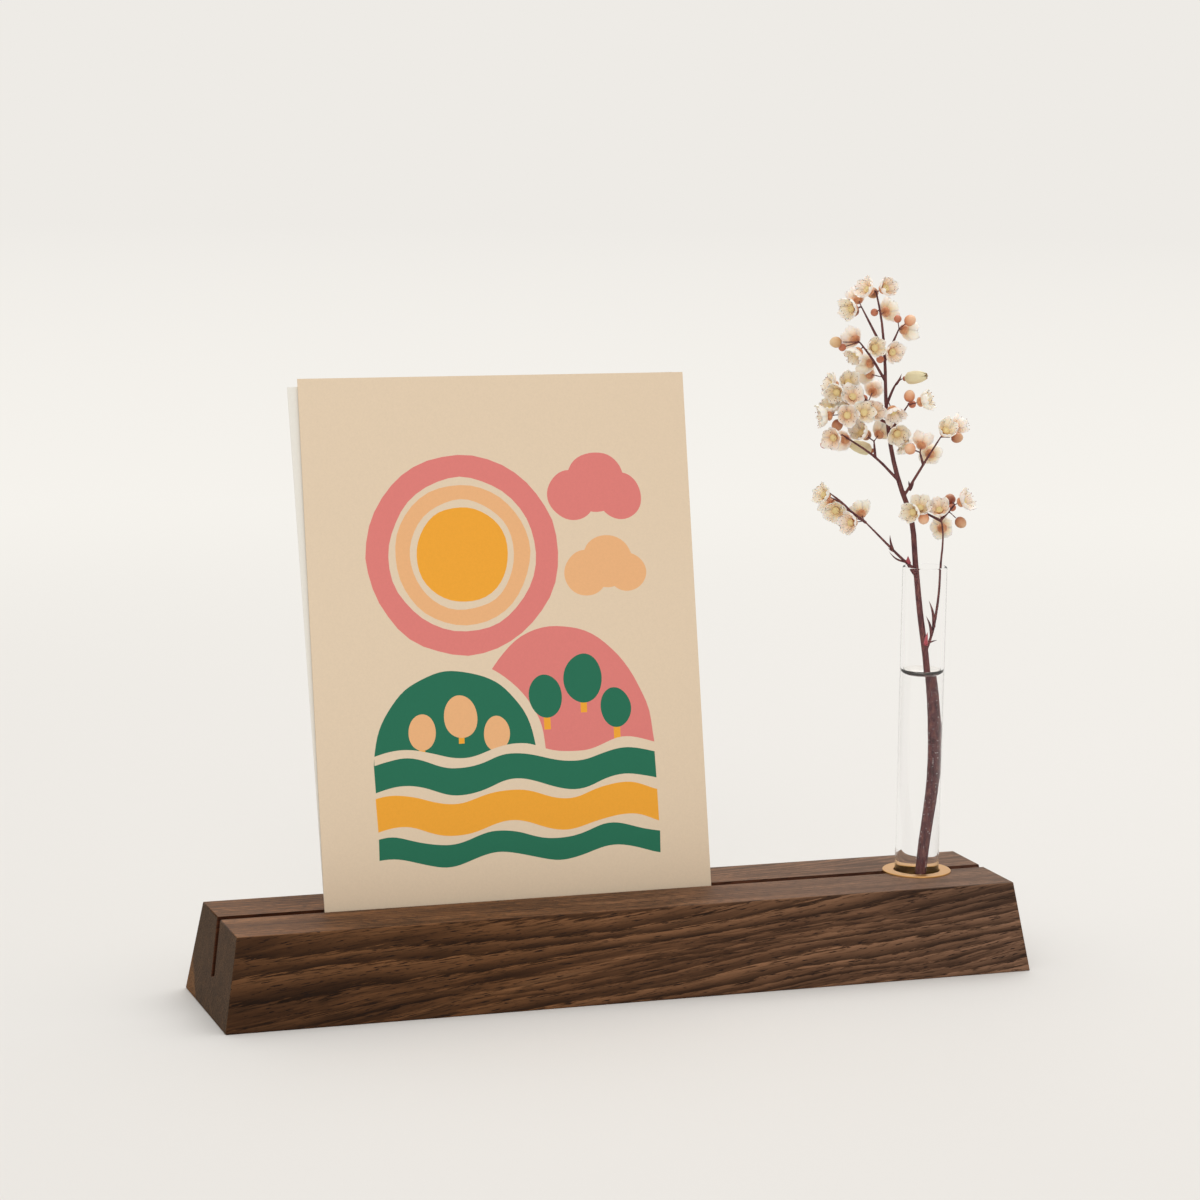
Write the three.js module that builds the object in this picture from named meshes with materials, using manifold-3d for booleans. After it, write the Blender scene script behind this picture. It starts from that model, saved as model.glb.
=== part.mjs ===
// A wooden card holder: a bevelled hardwood block with a leaning saw kerf that grips two cards, and a
// brass-lined socket that holds a small glass tube of water with a flowering sprig in it.
// Millimetres. +X runs to the right, +Y to the back and +Z up from the middle of the underside.
import * as THREE from "three";
import { mergeVertices } from "three/addons/utils/BufferGeometryUtils.js";
import Module from "manifold-3d";

const { degToRad, lerp } = THREE.MathUtils;

// Gap between neighbouring solids.
const CLEARANCE = 0.3;

// Block, measured on its underside; all four sides slope in towards the top.
const BASE_LENGTH = 218.5;
const BASE_WIDTH = 46;
const BASE_HEIGHT = 23.5;
const BASE_SLOPE = degToRad(9.3);

// Kerf that holds the cards: its width is taken along Y on the top face, its depth straight down.
const SLOT_WIDTH = 3.2;
const SLOT_DEPTH = 14.1;
const SLOT_TILT = degToRad(12);
const SLOT_BEHIND_MIDDLE = 0.9;

// Cards, stood one behind the other against the kerf's back wall.
const CARD_THICKNESS = 0.4;
const FRONT_CARD_WIDTH = 105;
const FRONT_CARD_HEIGHT = 150;
const FRONT_CARD_FROM_END = 27.5;
const REAR_CARD_WIDTH = 105;
const REAR_CARD_HEIGHT = 148;
const REAR_CARD_SHIFT = 0.5;
const REAR_CARD_TURN = degToRad(1.2);

// Glass tube and the place of its axis, from the right edge of the top face and from the middle.
const TUBE_DIAMETER = 11.8;
const TUBE_WALL = 0.8;
const TUBE_LENGTH = 100;
const TUBE_SUNK = 17.2;
const TUBE_FROM_END = 19.4;
const TUBE_BEHIND_MIDDLE = 0.5;

// Brass liner of the tube's socket: a sleeve with a flange let into the top face.
const FLANGE_DIAMETER = 18.4;
const FLANGE_THICKNESS = 1;
const FLANGE_PROUD = 0.4;
const FLANGE_CHAMFER = 0.15;
const SLEEVE_WALL = 0.8;

// Water, measured at the middle of its surface; the rim of the surface climbs the glass.
const WATER_DEPTH = 69.9;
const MENISCUS_HEIGHT = 1.6;
const MENISCUS_WIDTH = 2.4;

// Sprig: the length of one step in its drawing, diameters of its wood, and the flowers that it carries.
const SPRIG_STEP_LENGTH = 1;
const SPRIG_TURN = degToRad(19.1);
const STEM_FOOT_DIAMETER = 2.1;
const STEM_TIP_DIAMETER = 0.5;
const TWIG_FOOT_DIAMETER = 0.85;
const TWIG_TIP_DIAMETER = 0.45;
const PEDICEL_DIAMETER = 0.4;
const BLOSSOM_DIAMETER = 6.6;
const BLOSSOM_DEPTH = 3.3;
const BLOSSOM_WALL = 0.5;
const PETAL_COUNT = 5;
const PETAL_NOTCH = 0.2;
const BRACT_DIAMETER = 3.8;
const BRACT_LENGTH = 6.8;
const BUD_DIAMETER = 3;
const BUD_LENGTH = 3.2;
const YOUNG_BUD_DIAMETER = 1.9;

// Roundness of the faceted solids.
const SOCKET_SIDES = 36;
const TUBE_SIDES = 28;
const STEM_SIDES = 8;
const TWIG_SIDES = 5;
const PEDICEL_SIDES = 4;
const PETAL_SIDES = 3;
const BUD_SIDES = 8;
const ARC_STEPS = 4;

// Where the round bottoms of the tube and the water end in a small flat, in degrees below the horizontal.
const BOTTOM_FLAT = 72;

const wasm = await Module();
wasm.setup();

// Solid from a closed geometry, so that it can be cut and joined.
function solidFrom(geometry) {
  const bare = geometry.clone();
  bare.deleteAttribute("normal");
  bare.deleteAttribute("uv");
  const merged = mergeVertices(bare, 1e-4);
  return new wasm.Manifold(
    new wasm.Mesh({
      numProp: 3,
      vertProperties: merged.attributes.position.array,
      triVerts: new Uint32Array(merged.index.array),
    }),
  );
}

function geometryFrom(solid) {
  const { vertProperties, triVerts } = solid.getMesh();
  const geometry = new THREE.BufferGeometry();
  geometry.setAttribute("position", new THREE.BufferAttribute(vertProperties, 3));
  geometry.setIndex(new THREE.BufferAttribute(triVerts, 1));
  geometry.computeVertexNormals();
  return geometry;
}

function finish(color, roughness, metalness = 0, opacity = 1) {
  return new THREE.MeshStandardMaterial({ color, roughness, metalness, opacity, transparent: opacity < 1 });
}

const DARK_WOOD = finish("#563a27", 0.55);
const BRASS = finish("#d9b07c", 0.35, 1);
const CLEAR_GLASS = finish("#f4f7f5", 0.05, 0, 0.25);
const WATER = finish("#f2f6f5", 0.02, 0, 0.3);
const PRINTED_CARD = finish("#dfcbb3", 0.85);
const PLAIN_CARD = finish("#ebe7de", 0.85);
const STEM_BARK = finish("#5f3d3a", 0.7);
const PETAL = finish("#ead9c0", 0.75);
const BUD_SKIN = finish("#c98a5e", 0.65);

function piece(name, geometry, material) {
  const mesh = new THREE.Mesh(geometry, material);
  mesh.name = name;
  return mesh;
}

// Turned solid about Z: the profile lists radius and height, up the outside and back down.
function turned(profile, sides) {
  const points = profile.map(([radius, height]) => new THREE.Vector2(radius, height));
  return new THREE.LatheGeometry(points, sides).rotateX(Math.PI / 2);
}

// Points on a circle's arc for a turned profile, angles in degrees from the outward direction.
function arc(centreRadius, centreHeight, radius, fromDegrees, toDegrees) {
  return Array.from({ length: ARC_STEPS + 1 }, (_, i) => {
    const angle = degToRad(lerp(fromDegrees, toDegrees, i / ARC_STEPS));
    return [centreRadius + radius * Math.cos(angle), centreHeight + radius * Math.sin(angle)];
  });
}

// Places that several pieces share.
const topInset = BASE_HEIGHT * Math.tan(BASE_SLOPE);
const topHalfLength = BASE_LENGTH / 2 - topInset;
const kerf = SLOT_WIDTH * Math.cos(SLOT_TILT);
const slotFloor = new THREE.Vector3(
  0,
  SLOT_BEHIND_MIDDLE - SLOT_DEPTH * Math.tan(SLOT_TILT),
  BASE_HEIGHT - SLOT_DEPTH,
);
const tubeRadius = TUBE_DIAMETER / 2;
const boreRadius = tubeRadius - TUBE_WALL;
const sleeveInner = tubeRadius + CLEARANCE;
const sleeveOuter = sleeveInner + SLEEVE_WALL;
const flangeRadius = FLANGE_DIAMETER / 2;
const flangeUnderside = FLANGE_PROUD - FLANGE_THICKNESS;
const socketDepth = TUBE_SUNK + CLEARANCE;
const socketTop = new THREE.Vector3(topHalfLength - TUBE_FROM_END, TUBE_BEHIND_MIDDLE, BASE_HEIGHT);

// The block is one length of wood: a box whose top is drawn in, sawn for the cards and bored for the liner.
function baseBlock() {
  const block = new THREE.BoxGeometry(BASE_LENGTH, BASE_WIDTH, BASE_HEIGHT);
  block.translate(0, 0, BASE_HEIGHT / 2);
  const corners = block.attributes.position;
  for (let i = 0; i < corners.count; i += 1) {
    if (corners.getZ(i) > BASE_HEIGHT / 2) {
      corners.setX(i, corners.getX(i) - Math.sign(corners.getX(i)) * topInset);
      corners.setY(i, corners.getY(i) - Math.sign(corners.getY(i)) * topInset);
    }
  }
  const blade = new THREE.BoxGeometry(2 * BASE_LENGTH, kerf, 2 * BASE_HEIGHT);
  blade.translate(0, 0, BASE_HEIGHT);
  blade.rotateX(-SLOT_TILT);
  blade.translate(slotFloor.x, slotFloor.y, slotFloor.z);
  const boreWall = sleeveOuter + CLEARANCE;
  const recessWall = flangeRadius + CLEARANCE;
  const recessFloor = flangeUnderside - CLEARANCE;
  const drill = turned(
    [
      [0, -socketDepth],
      [boreWall, -socketDepth],
      [boreWall, recessFloor],
      [recessWall, recessFloor],
      [recessWall, BASE_HEIGHT],
      [0, BASE_HEIGHT],
    ],
    SOCKET_SIDES,
  );
  drill.translate(socketTop.x, socketTop.y, socketTop.z);
  return geometryFrom(solidFrom(block).subtract(solidFrom(blade)).subtract(solidFrom(drill)));
}

function socketLiner() {
  const foot = CLEARANCE - socketDepth;
  const bevel = FLANGE_CHAMFER;
  return turned(
    [
      [sleeveInner, foot],
      [sleeveOuter, foot],
      [sleeveOuter, flangeUnderside],
      [flangeRadius, flangeUnderside],
      [flangeRadius, FLANGE_PROUD - bevel],
      [flangeRadius - bevel, FLANGE_PROUD],
      [sleeveInner + bevel, FLANGE_PROUD],
      [sleeveInner, FLANGE_PROUD - bevel],
      [sleeveInner, foot],
    ],
    SOCKET_SIDES,
  );
}

// The tube stands on its round bottom at height zero and has a fire-polished rim.
function glassTube() {
  const rimRadius = TUBE_WALL / 2;
  const rimHeight = TUBE_LENGTH - rimRadius;
  return turned(
    [
      [0, 0],
      ...arc(0, tubeRadius, tubeRadius, -BOTTOM_FLAT, 0),
      ...arc(tubeRadius - rimRadius, rimHeight, rimRadius, 0, 180),
      ...arc(0, tubeRadius, boreRadius, 0, -BOTTOM_FLAT),
      [0, TUBE_WALL],
    ],
    TUBE_SIDES,
  );
}

// Water fills the tube's round bottom and climbs the glass a little round the edge of its surface.
function waterBody(stemHole) {
  const radius = boreRadius - CLEARANCE;
  const surface = TUBE_WALL + WATER_DEPTH;
  const flat = radius - MENISCUS_WIDTH;
  const climb = (share) => [flat + MENISCUS_WIDTH * share, surface + MENISCUS_HEIGHT * share ** 3];
  const body = turned(
    [
      [0, tubeRadius - radius],
      ...arc(0, tubeRadius, radius, -BOTTOM_FLAT, 0),
      climb(1),
      climb(0.75),
      climb(0.5),
      climb(0),
      [0, surface],
    ],
    TUBE_SIDES,
  );
  return geometryFrom(solidFrom(body).subtract(stemHole));
}

// A card whose lower left corner is the origin.
function card(width, height) {
  return new THREE.BoxGeometry(width, CARD_THICKNESS, height).translate(width / 2, 0, height / 2);
}

// Closed round shoot along a curve, which tapers little at its foot and most towards its tip.
function shoot(curve, footRadius, tipRadius, steps, sides) {
  const { normals, binormals } = curve.computeFrenetFrames(steps, false);
  const rings = [];
  const faces = [];
  for (let i = 0; i <= steps; i += 1) {
    const radius = lerp(footRadius, tipRadius, (i / steps) ** 2);
    for (let k = 0; k < sides; k += 1) {
      const angle = (2 * Math.PI * k) / sides;
      const point = curve.getPointAt(i / steps);
      point.addScaledVector(normals[i], radius * Math.cos(angle));
      point.addScaledVector(binormals[i], radius * Math.sin(angle));
      rings.push(point);
    }
  }
  const foot = rings.push(curve.getPointAt(0)) - 1;
  const tip = rings.push(curve.getPointAt(1)) - 1;
  for (let k = 0; k < sides; k += 1) {
    const next = (k + 1) % sides;
    const last = steps * sides;
    faces.push(foot, next, k, tip, last + k, last + next);
    for (let row = 0; row < last; row += sides) {
      faces.push(row + k, row + next, row + sides + k);
      faces.push(row + next, row + sides + next, row + sides + k);
    }
  }
  return new THREE.BufferGeometry().setFromPoints(rings).setIndex(faces);
}

// Point inside the tube, in shares of the room that a shoot of this radius has to lean in.
function leaning(radius, sideways, back, height) {
  const room = boreRadius - radius - CLEARANCE;
  return new THREE.Vector3(sideways * room, back * room, height);
}

// The sprig is drawn in steps from the middle of the tube's mouth: sideways, back, up. Its stem stands on
// the bottom of the tube and leans on the glass. Each limb names the limb it grows on, the height where
// it leaves it and the points it grows through; its flowers give their place sideways and up.
const stemFoot = STEM_FOOT_DIAMETER / 2;
const twigFoot = TWIG_FOOT_DIAMETER / 2;
const innerDepth = TUBE_LENGTH - TUBE_WALL;
const inStem = (sideways, back, depth) => leaning(stemFoot, sideways, back, -depth * innerDepth);
const inTwig = (sideways, back, steps) => leaning(twigFoot, sideways, back, steps * SPRIG_STEP_LENGTH);
const LIMBS = [
  {
    name: "stem",
    through: [
      leaning(stemFoot, 0, 0, 3 * CLEARANCE - innerDepth),
      inStem(0.32, 0.36, 0.78),
      inStem(0.66, 0.56, 0.58),
      inStem(0.58, 0.66, 0.38),
      inStem(0.36, 0.7, 0.27),
      inStem(-0.2, 0.72, 0.13),
      inStem(-0.62, 0.58, 0),
      [-3.7, 2, 12],
      [-7.4, 1.5, 22.3],
      [-9.8, 1, 31.5],
      [-11.4, 0.5, 43],
      [-12, 0, 53.5],
      [-13.2, 0, 65],
      [-14.8, 0, 72.5],
    ],
    blossoms: [[-9.5, 40.5], [-16.5, 50.5], [-10, 57], [-11, 67.5], [-12, 74], [-18, 74.5]],
    buds: [[-15.5, 72]],
    youngBuds: [[-13.5, 55], [-15, 67]],
  },
  {
    name: "low_right",
    on: "stem",
    leaves: -24,
    through: [
      inTwig(0.67, 0.6, -17.5),
      inTwig(0.84, 0.42, -12),
      inTwig(0.94, 0.24, -6.5),
      inTwig(0.96, 0.14, 0),
      [4.6, 0.3, 8],
      [4, 0.5, 13],
    ],
    blossoms: [[4.5, 10], [3, 16]],
  },
  {
    name: "low_right_left",
    on: "low_right",
    leaves: 12,
    through: [[-1.5, -1.5, 15]],
    blossoms: [[-4.5, 15]],
    buds: [[-1, 13]],
  },
  {
    name: "low_right_tip",
    on: "low_right",
    leaves: 12.5,
    through: [[7.5, 0.5, 16.5]],
    blossoms: [[10.5, 18]],
    buds: [[6.5, 17.5], [9, 12]],
    youngBuds: [[7, 15.5]],
  },
  {
    name: "low_left",
    on: "stem",
    leaves: -1.8,
    through: [[-3.8, 1.6, -0.15], [-5.8, 1.3, 1.5], [-16.5, -1, 12]],
    blossoms: [[-17.5, 14.5], [-21, 12]],
    buds: [[-22, 13.5]],
  },
  {
    name: "low_left_tip",
    on: "low_left",
    leaves: 11.5,
    through: [[-24.5, 1.5, 17.5]],
    blossoms: [[-28, 19], [-25.5, 15]],
  },
  {
    name: "right",
    on: "stem",
    leaves: 18.5,
    through: [[-0.6, 0.5, 28], [3.2, 0, 34.5]],
    blossoms: [[1, 29.5], [4.5, 37], [8.5, 37.5]],
    buds: [[7.5, 34.5]],
  },
  {
    name: "right_inner",
    on: "right",
    leaves: 27,
    through: [[-2.3, -1.5, 30.5]],
    blossoms: [[-6.5, 32.5], [-1.5, 33.5]],
    buds: [[-5.5, 32]],
  },
  {
    name: "left",
    on: "stem",
    leaves: 22.5,
    through: [[-14, -1, 29], [-23, -2, 35]],
    blossoms: [[-17.5, 31], [-22.5, 33], [-26, 34.5]],
    youngBuds: [[-27.5, 32]],
  },
  {
    name: "left_inner",
    on: "left",
    leaves: 29,
    through: [[-14.3, 1, 33]],
    blossoms: [[-18.5, 36], [-12, 35.5]],
    buds: [[-16, 34]],
  },
  {
    name: "middle_left_low",
    on: "stem",
    leaves: 38,
    through: [[-15.5, -2, 40], [-23, -3.5, 40.5]],
    blossoms: [[-17.5, 41.5], [-22, 42.5], [-28.5, 40]],
    buds: [[-24.5, 37.5]],
  },
  {
    name: "middle_left",
    on: "stem",
    leaves: 39,
    through: [[-14.5, 2, 42.5], [-22, 3.5, 46.5]],
    blossoms: [[-14, 46], [-21.5, 49], [-26.5, 48]],
    buds: [[-25.5, 46]],
    youngBuds: [[-19, 46.5], [-17, 44]],
  },
  {
    name: "middle_right_low",
    on: "stem",
    leaves: 35,
    through: [[-5.8, -1.5, 43]],
    blossoms: [[-1, 44.5]],
    buds: [[-5.5, 45.5]],
    youngBuds: [[-4.5, 43]],
  },
  {
    name: "middle_right",
    on: "stem",
    leaves: 42.5,
    through: [[-9, 1.5, 48], [-7.5, 2, 49.5]],
    bracts: [[-3.8, 50.2]],
  },
  {
    name: "upper_left",
    on: "stem",
    leaves: 49,
    through: [[-15.5, -1.5, 55], [-19, -2.5, 59.5]],
    blossoms: [[-17, 53.5], [-20.5, 56], [-15, 58.5], [-21, 60.5]],
    buds: [[-25.5, 59.5]],
    youngBuds: [[-23.5, 58]],
  },
  {
    name: "upper_right",
    on: "stem",
    leaves: 54.5,
    through: [[-8.7, -1.5, 63]],
    blossoms: [[-6, 62.5]],
    buds: [[-6, 65.5]],
    youngBuds: [[-9, 65.5]],
  },
  {
    name: "crown_left",
    on: "stem",
    leaves: 57,
    through: [[-18.5, 1.5, 68.5]],
    blossoms: [[-19.5, 71], [-22, 68]],
    buds: [[-20.5, 67]],
  },
];

// Depth that flowers take on either side of their limb before they crowd each other aside. Blossoms are
// cups that nest, so they need only this share of the room that balls of their diameter would.
const FLOWER_SPREAD = 2.5;
const BLOSSOM_NESTING = 0.88;
const GOLDEN_ANGLE = degToRad(137.5);
const CROWDING_ROUNDS = 400;

// Points looked at along a twig, along the longer stem, and where a height is looked up.
const TWIG_SAMPLES = 24;
const STEM_SAMPLES = 144;
const HEIGHT_SAMPLES = 480;

// Rings of a shoot between two of its points, and the length that a flower in its way costs a pedicel.
const SHOOT_STEPS = 3;
const DETOUR = 100;

// A place in the drawing as a point; one that is worked out from the tube is a point already.
function point(place) {
  return place.isVector3 ? place : new THREE.Vector3(...place).multiplyScalar(SPRIG_STEP_LENGTH);
}

// Where a rising limb passes a height.
function pointAtHeight(curve, height) {
  const samples = curve.getSpacedPoints(HEIGHT_SAMPLES);
  return samples.reduce((a, b) => (Math.abs(a.z - height) < Math.abs(b.z - height) ? a : b));
}

function growLimbs() {
  const limbs = new Map();
  for (const limb of LIMBS) {
    const through = limb.through.map(point);
    if (limb.on) {
      through.unshift(pointAtHeight(limbs.get(limb.on).curve, limb.leaves * SPRIG_STEP_LENGTH));
    }
    const curve = new THREE.CatmullRomCurve3(through, false, "centripetal");
    const thick = limb.on ? [twigFoot, TWIG_TIP_DIAMETER / 2] : [stemFoot, STEM_TIP_DIAMETER / 2];
    const samples = curve.getSpacedPoints(limb.on ? TWIG_SAMPLES : STEM_SAMPLES);
    limbs.set(limb.name, { ...limb, curve, footRadius: thick[0], tipRadius: thick[1], samples });
  }
  return limbs;
}

// Every flower starts beside its limb, on alternating sides in depth.
function listFlowers(limbs) {
  const kinds = {
    blossoms: (BLOSSOM_NESTING * BLOSSOM_DIAMETER) / 2,
    bracts: BRACT_LENGTH / 2,
    buds: BUD_LENGTH / 2,
    youngBuds: YOUNG_BUD_DIAMETER / 2,
  };
  const flowers = [];
  for (const limb of limbs.values()) {
    for (const [kind, radius] of Object.entries(kinds)) {
      for (const [sideways, up] of limb[kind] ?? []) {
        const centre = point([sideways, 0, up]);
        const near = limb.samples.reduce((a, b) => {
          const gap = (p) => Math.hypot(p.x - centre.x, p.z - centre.z);
          return gap(a) < gap(b) ? a : b;
        });
        centre.y = near.y + FLOWER_SPREAD * Math.sin(flowers.length * GOLDEN_ANGLE);
        flowers.push({ kind, limb, radius, centre });
      }
    }
  }
  return flowers;
}

// Pushes a flower forward or back until it stands this far from a point.
function crowd(flower, other, distance, share) {
  const flat = Math.hypot(flower.centre.x - other.x, flower.centre.z - other.z);
  const depth = flower.centre.y - other.y;
  if (flat < distance) {
    const missing = Math.sqrt(distance ** 2 - flat ** 2) - Math.abs(depth);
    flower.centre.y += Math.max(0, missing) * share * (depth < 0 ? -1 : 1);
  }
}

function spaceOut(flowers, limbs) {
  for (let round = 0; round < CROWDING_ROUNDS; round += 1) {
    flowers.forEach((a, i) => {
      flowers.slice(i + 1).forEach((b) => {
        const distance = a.radius + b.radius + CLEARANCE;
        const before = a.centre.clone();
        crowd(a, b.centre, distance, 0.5);
        crowd(b, before, distance, 0.5);
      });
      for (const limb of limbs.values()) {
        limb.samples.forEach((sample) => crowd(a, sample, a.radius + limb.footRadius + CLEARANCE, 1));
      }
    });
  }
}

// The pedicel leaves its limb where the way to the flower is short and clear of the other flowers.
function choosePedicels(flowers) {
  const toward = new THREE.Line3();
  const nearest = new THREE.Vector3();
  for (const flower of flowers) {
    const cost = (root) => {
      toward.set(root, flower.centre);
      const blocked = flowers.filter((other) => {
        toward.closestPointToPoint(other.centre, true, nearest);
        return other !== flower && nearest.distanceTo(other.centre) < other.radius + PEDICEL_DIAMETER;
      });
      return toward.distance() + DETOUR * blocked.length;
    };
    const roots = flower.limb.samples.slice(-TWIG_SAMPLES);
    flower.root = roots.reduce((a, b) => (cost(a) <= cost(b) ? a : b));
    flower.facing = flower.centre.clone().sub(flower.root).normalize();
  }
}

// A five-petalled bell that opens along +Z from its foot; its thin rim dips between the petals.
function blossomBell() {
  const radius = BLOSSOM_DIAMETER / 2;
  const bellyRadius = 0.8 * radius;
  const bellyHeight = 0.42 * BLOSSOM_DEPTH;
  const bell = turned(
    [
      [0, 0],
      [0.75 * bellyRadius, 0.35 * bellyHeight],
      [bellyRadius, bellyHeight],
      [radius, BLOSSOM_DEPTH],
      [bellyRadius - BLOSSOM_WALL, bellyHeight],
      [0, 2 * BLOSSOM_WALL],
    ],
    PETAL_SIDES * PETAL_COUNT,
  );
  const places = bell.attributes.position;
  for (let i = 0; i < places.count; i += 1) {
    const angle = Math.atan2(places.getY(i), places.getX(i));
    const open = places.getZ(i) / BLOSSOM_DEPTH;
    const keep = 1 - PETAL_NOTCH * open * (0.5 + 0.5 * Math.cos(PETAL_COUNT * angle));
    places.setXYZ(i, places.getX(i) * keep, places.getY(i) * keep, places.getZ(i) * keep);
  }
  return bell;
}

// A bud or a closed bract stands on its foot and is fullest below its middle.
function budBall(diameter, length) {
  return turned(
    [
      [0, 0],
      [0.4 * diameter, 0.15 * length],
      [0.5 * diameter, 0.45 * length],
      [0.35 * diameter, 0.8 * length],
      [0, length],
    ],
    BUD_SIDES,
  );
}

const limbs = growLimbs();
const flowers = listFlowers(limbs);
spaceOut(flowers, limbs);
choosePedicels(flowers);

// A flower's foot lies half its length before its middle.
function footOf(flower) {
  const lengths = {
    blossoms: BLOSSOM_DEPTH,
    bracts: BRACT_LENGTH,
    buds: BUD_LENGTH,
    youngBuds: YOUNG_BUD_DIAMETER,
  };
  const length = lengths[flower.kind];
  return flower.centre.clone().addScaledVector(flower.facing, -length / 2);
}

const UP = new THREE.Vector3(0, 0, 1);

// A flower's geometry, turned to face its way and stood at its foot.
function placed(geometry, flower) {
  const turn = new THREE.Quaternion().setFromUnitVectors(UP, flower.facing);
  return geometry.applyQuaternion(turn).translate(...footOf(flower).toArray());
}

// All the wood of the sprig grows as one piece; the youngest buds are no more than its swollen tips.
function sprigWood() {
  let wood = null;
  const join = (geometry) => {
    const solid = solidFrom(geometry);
    wood = wood ? wood.add(solid) : solid;
  };
  for (const limb of limbs.values()) {
    const steps = SHOOT_STEPS * limb.through.length;
    const sides = limb.on ? TWIG_SIDES : STEM_SIDES;
    join(shoot(limb.curve, limb.footRadius, limb.tipRadius, steps, sides));
  }
  for (const flower of flowers) {
    const young = flower.kind === "youngBuds";
    const end = footOf(flower).addScaledVector(flower.facing, young ? PEDICEL_DIAMETER : -CLEARANCE);
    const pedicel = new THREE.LineCurve3(flower.root, end);
    join(shoot(pedicel, PEDICEL_DIAMETER / 2, PEDICEL_DIAMETER / 2, 1, PEDICEL_SIDES));
    if (young) {
      join(placed(budBall(YOUNG_BUD_DIAMETER, YOUNG_BUD_DIAMETER), flower));
    }
  }
  return geometryFrom(wood);
}

// The room that the stem takes in the water.
function stemHole() {
  const { curve, footRadius, tipRadius, through } = limbs.get("stem");
  const steps = SHOOT_STEPS * through.length;
  const hole = shoot(curve, footRadius + CLEARANCE, tipRadius + CLEARANCE, steps, STEM_SIDES);
  return solidFrom(hole.rotateZ(-SPRIG_TURN).translate(0, 0, TUBE_LENGTH));
}

const cardHolder = new THREE.Group();
cardHolder.add(piece("base_block", baseBlock(), DARK_WOOD));

const liner = piece("socket_liner", socketLiner(), BRASS);
liner.position.copy(socketTop);
cardHolder.add(liner);

const cards = new THREE.Group();
cards.position.copy(slotFloor);
cards.rotation.x = -SLOT_TILT;
const frontCardLeft = FRONT_CARD_FROM_END - topHalfLength;
const rearCardPlane = kerf / 2 - CLEARANCE - CARD_THICKNESS / 2;
const frontCardPlane = rearCardPlane - CARD_THICKNESS - CLEARANCE;
const frontCard = piece("front_card", card(FRONT_CARD_WIDTH, FRONT_CARD_HEIGHT), PRINTED_CARD);
frontCard.position.set(frontCardLeft, frontCardPlane, CLEARANCE);
const rearCard = piece("rear_card", card(REAR_CARD_WIDTH, REAR_CARD_HEIGHT), PLAIN_CARD);
rearCard.position.set(frontCardLeft + REAR_CARD_SHIFT, rearCardPlane, CLEARANCE);
rearCard.rotation.y = -REAR_CARD_TURN;
cards.add(frontCard, rearCard);
cardHolder.add(cards);

const vase = new THREE.Group();
vase.position.copy(socketTop);
vase.position.z -= TUBE_SUNK;
vase.add(piece("glass_tube", glassTube(), CLEAR_GLASS));
vase.add(piece("water", waterBody(stemHole()), WATER));
cardHolder.add(vase);

const sprig = new THREE.Group();
sprig.position.z = TUBE_LENGTH;
sprig.rotation.z = -SPRIG_TURN;
sprig.add(piece("sprig_stem", sprigWood(), STEM_BARK));
const FLOWERS = {
  blossoms: { name: "blossom", skin: PETAL, form: blossomBell },
  bracts: { name: "blossom", skin: PETAL, form: () => budBall(BRACT_DIAMETER, BRACT_LENGTH) },
  buds: { name: "bud", skin: BUD_SKIN, form: () => budBall(BUD_DIAMETER, BUD_LENGTH) },
};
const counts = { blossom: 0, bud: 0 };
for (const flower of flowers.filter(({ kind }) => kind in FLOWERS)) {
  const { name, skin, form } = FLOWERS[flower.kind];
  counts[name] += 1;
  const number = String(counts[name]).padStart(2, "0");
  sprig.add(piece(`${name}_${number}`, placed(form(), flower), skin));
}
vase.add(sprig);

export default cardHolder;
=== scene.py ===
"""Looks of a walnut card holder with two cards, and a bud tube with a flowering sprig."""
import math
import random
from collections import Counter

import bmesh
import bpy
from mathutils import Matrix, Vector, noise
from mathutils.bvhtree import BVHTree
from mathutils.geometry import delaunay_2d_cdt


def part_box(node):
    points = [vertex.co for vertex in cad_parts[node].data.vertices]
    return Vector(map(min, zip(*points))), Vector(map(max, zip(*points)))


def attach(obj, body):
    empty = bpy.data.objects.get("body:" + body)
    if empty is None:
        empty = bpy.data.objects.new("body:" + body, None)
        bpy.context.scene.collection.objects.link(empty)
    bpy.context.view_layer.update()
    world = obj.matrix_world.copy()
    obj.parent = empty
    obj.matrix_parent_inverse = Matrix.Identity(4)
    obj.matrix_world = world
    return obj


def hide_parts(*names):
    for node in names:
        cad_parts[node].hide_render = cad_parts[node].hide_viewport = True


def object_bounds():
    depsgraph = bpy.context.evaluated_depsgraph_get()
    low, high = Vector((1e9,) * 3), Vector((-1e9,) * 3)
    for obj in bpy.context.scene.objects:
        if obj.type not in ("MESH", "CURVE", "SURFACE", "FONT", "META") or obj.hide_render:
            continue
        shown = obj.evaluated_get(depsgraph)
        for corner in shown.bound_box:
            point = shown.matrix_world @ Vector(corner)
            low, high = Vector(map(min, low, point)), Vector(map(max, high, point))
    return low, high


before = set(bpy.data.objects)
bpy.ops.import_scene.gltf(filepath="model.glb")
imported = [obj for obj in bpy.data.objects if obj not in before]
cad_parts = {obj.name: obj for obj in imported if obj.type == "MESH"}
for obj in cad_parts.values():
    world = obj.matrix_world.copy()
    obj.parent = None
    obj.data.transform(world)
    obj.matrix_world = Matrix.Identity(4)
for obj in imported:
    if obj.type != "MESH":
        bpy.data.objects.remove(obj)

cad_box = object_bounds()

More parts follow.
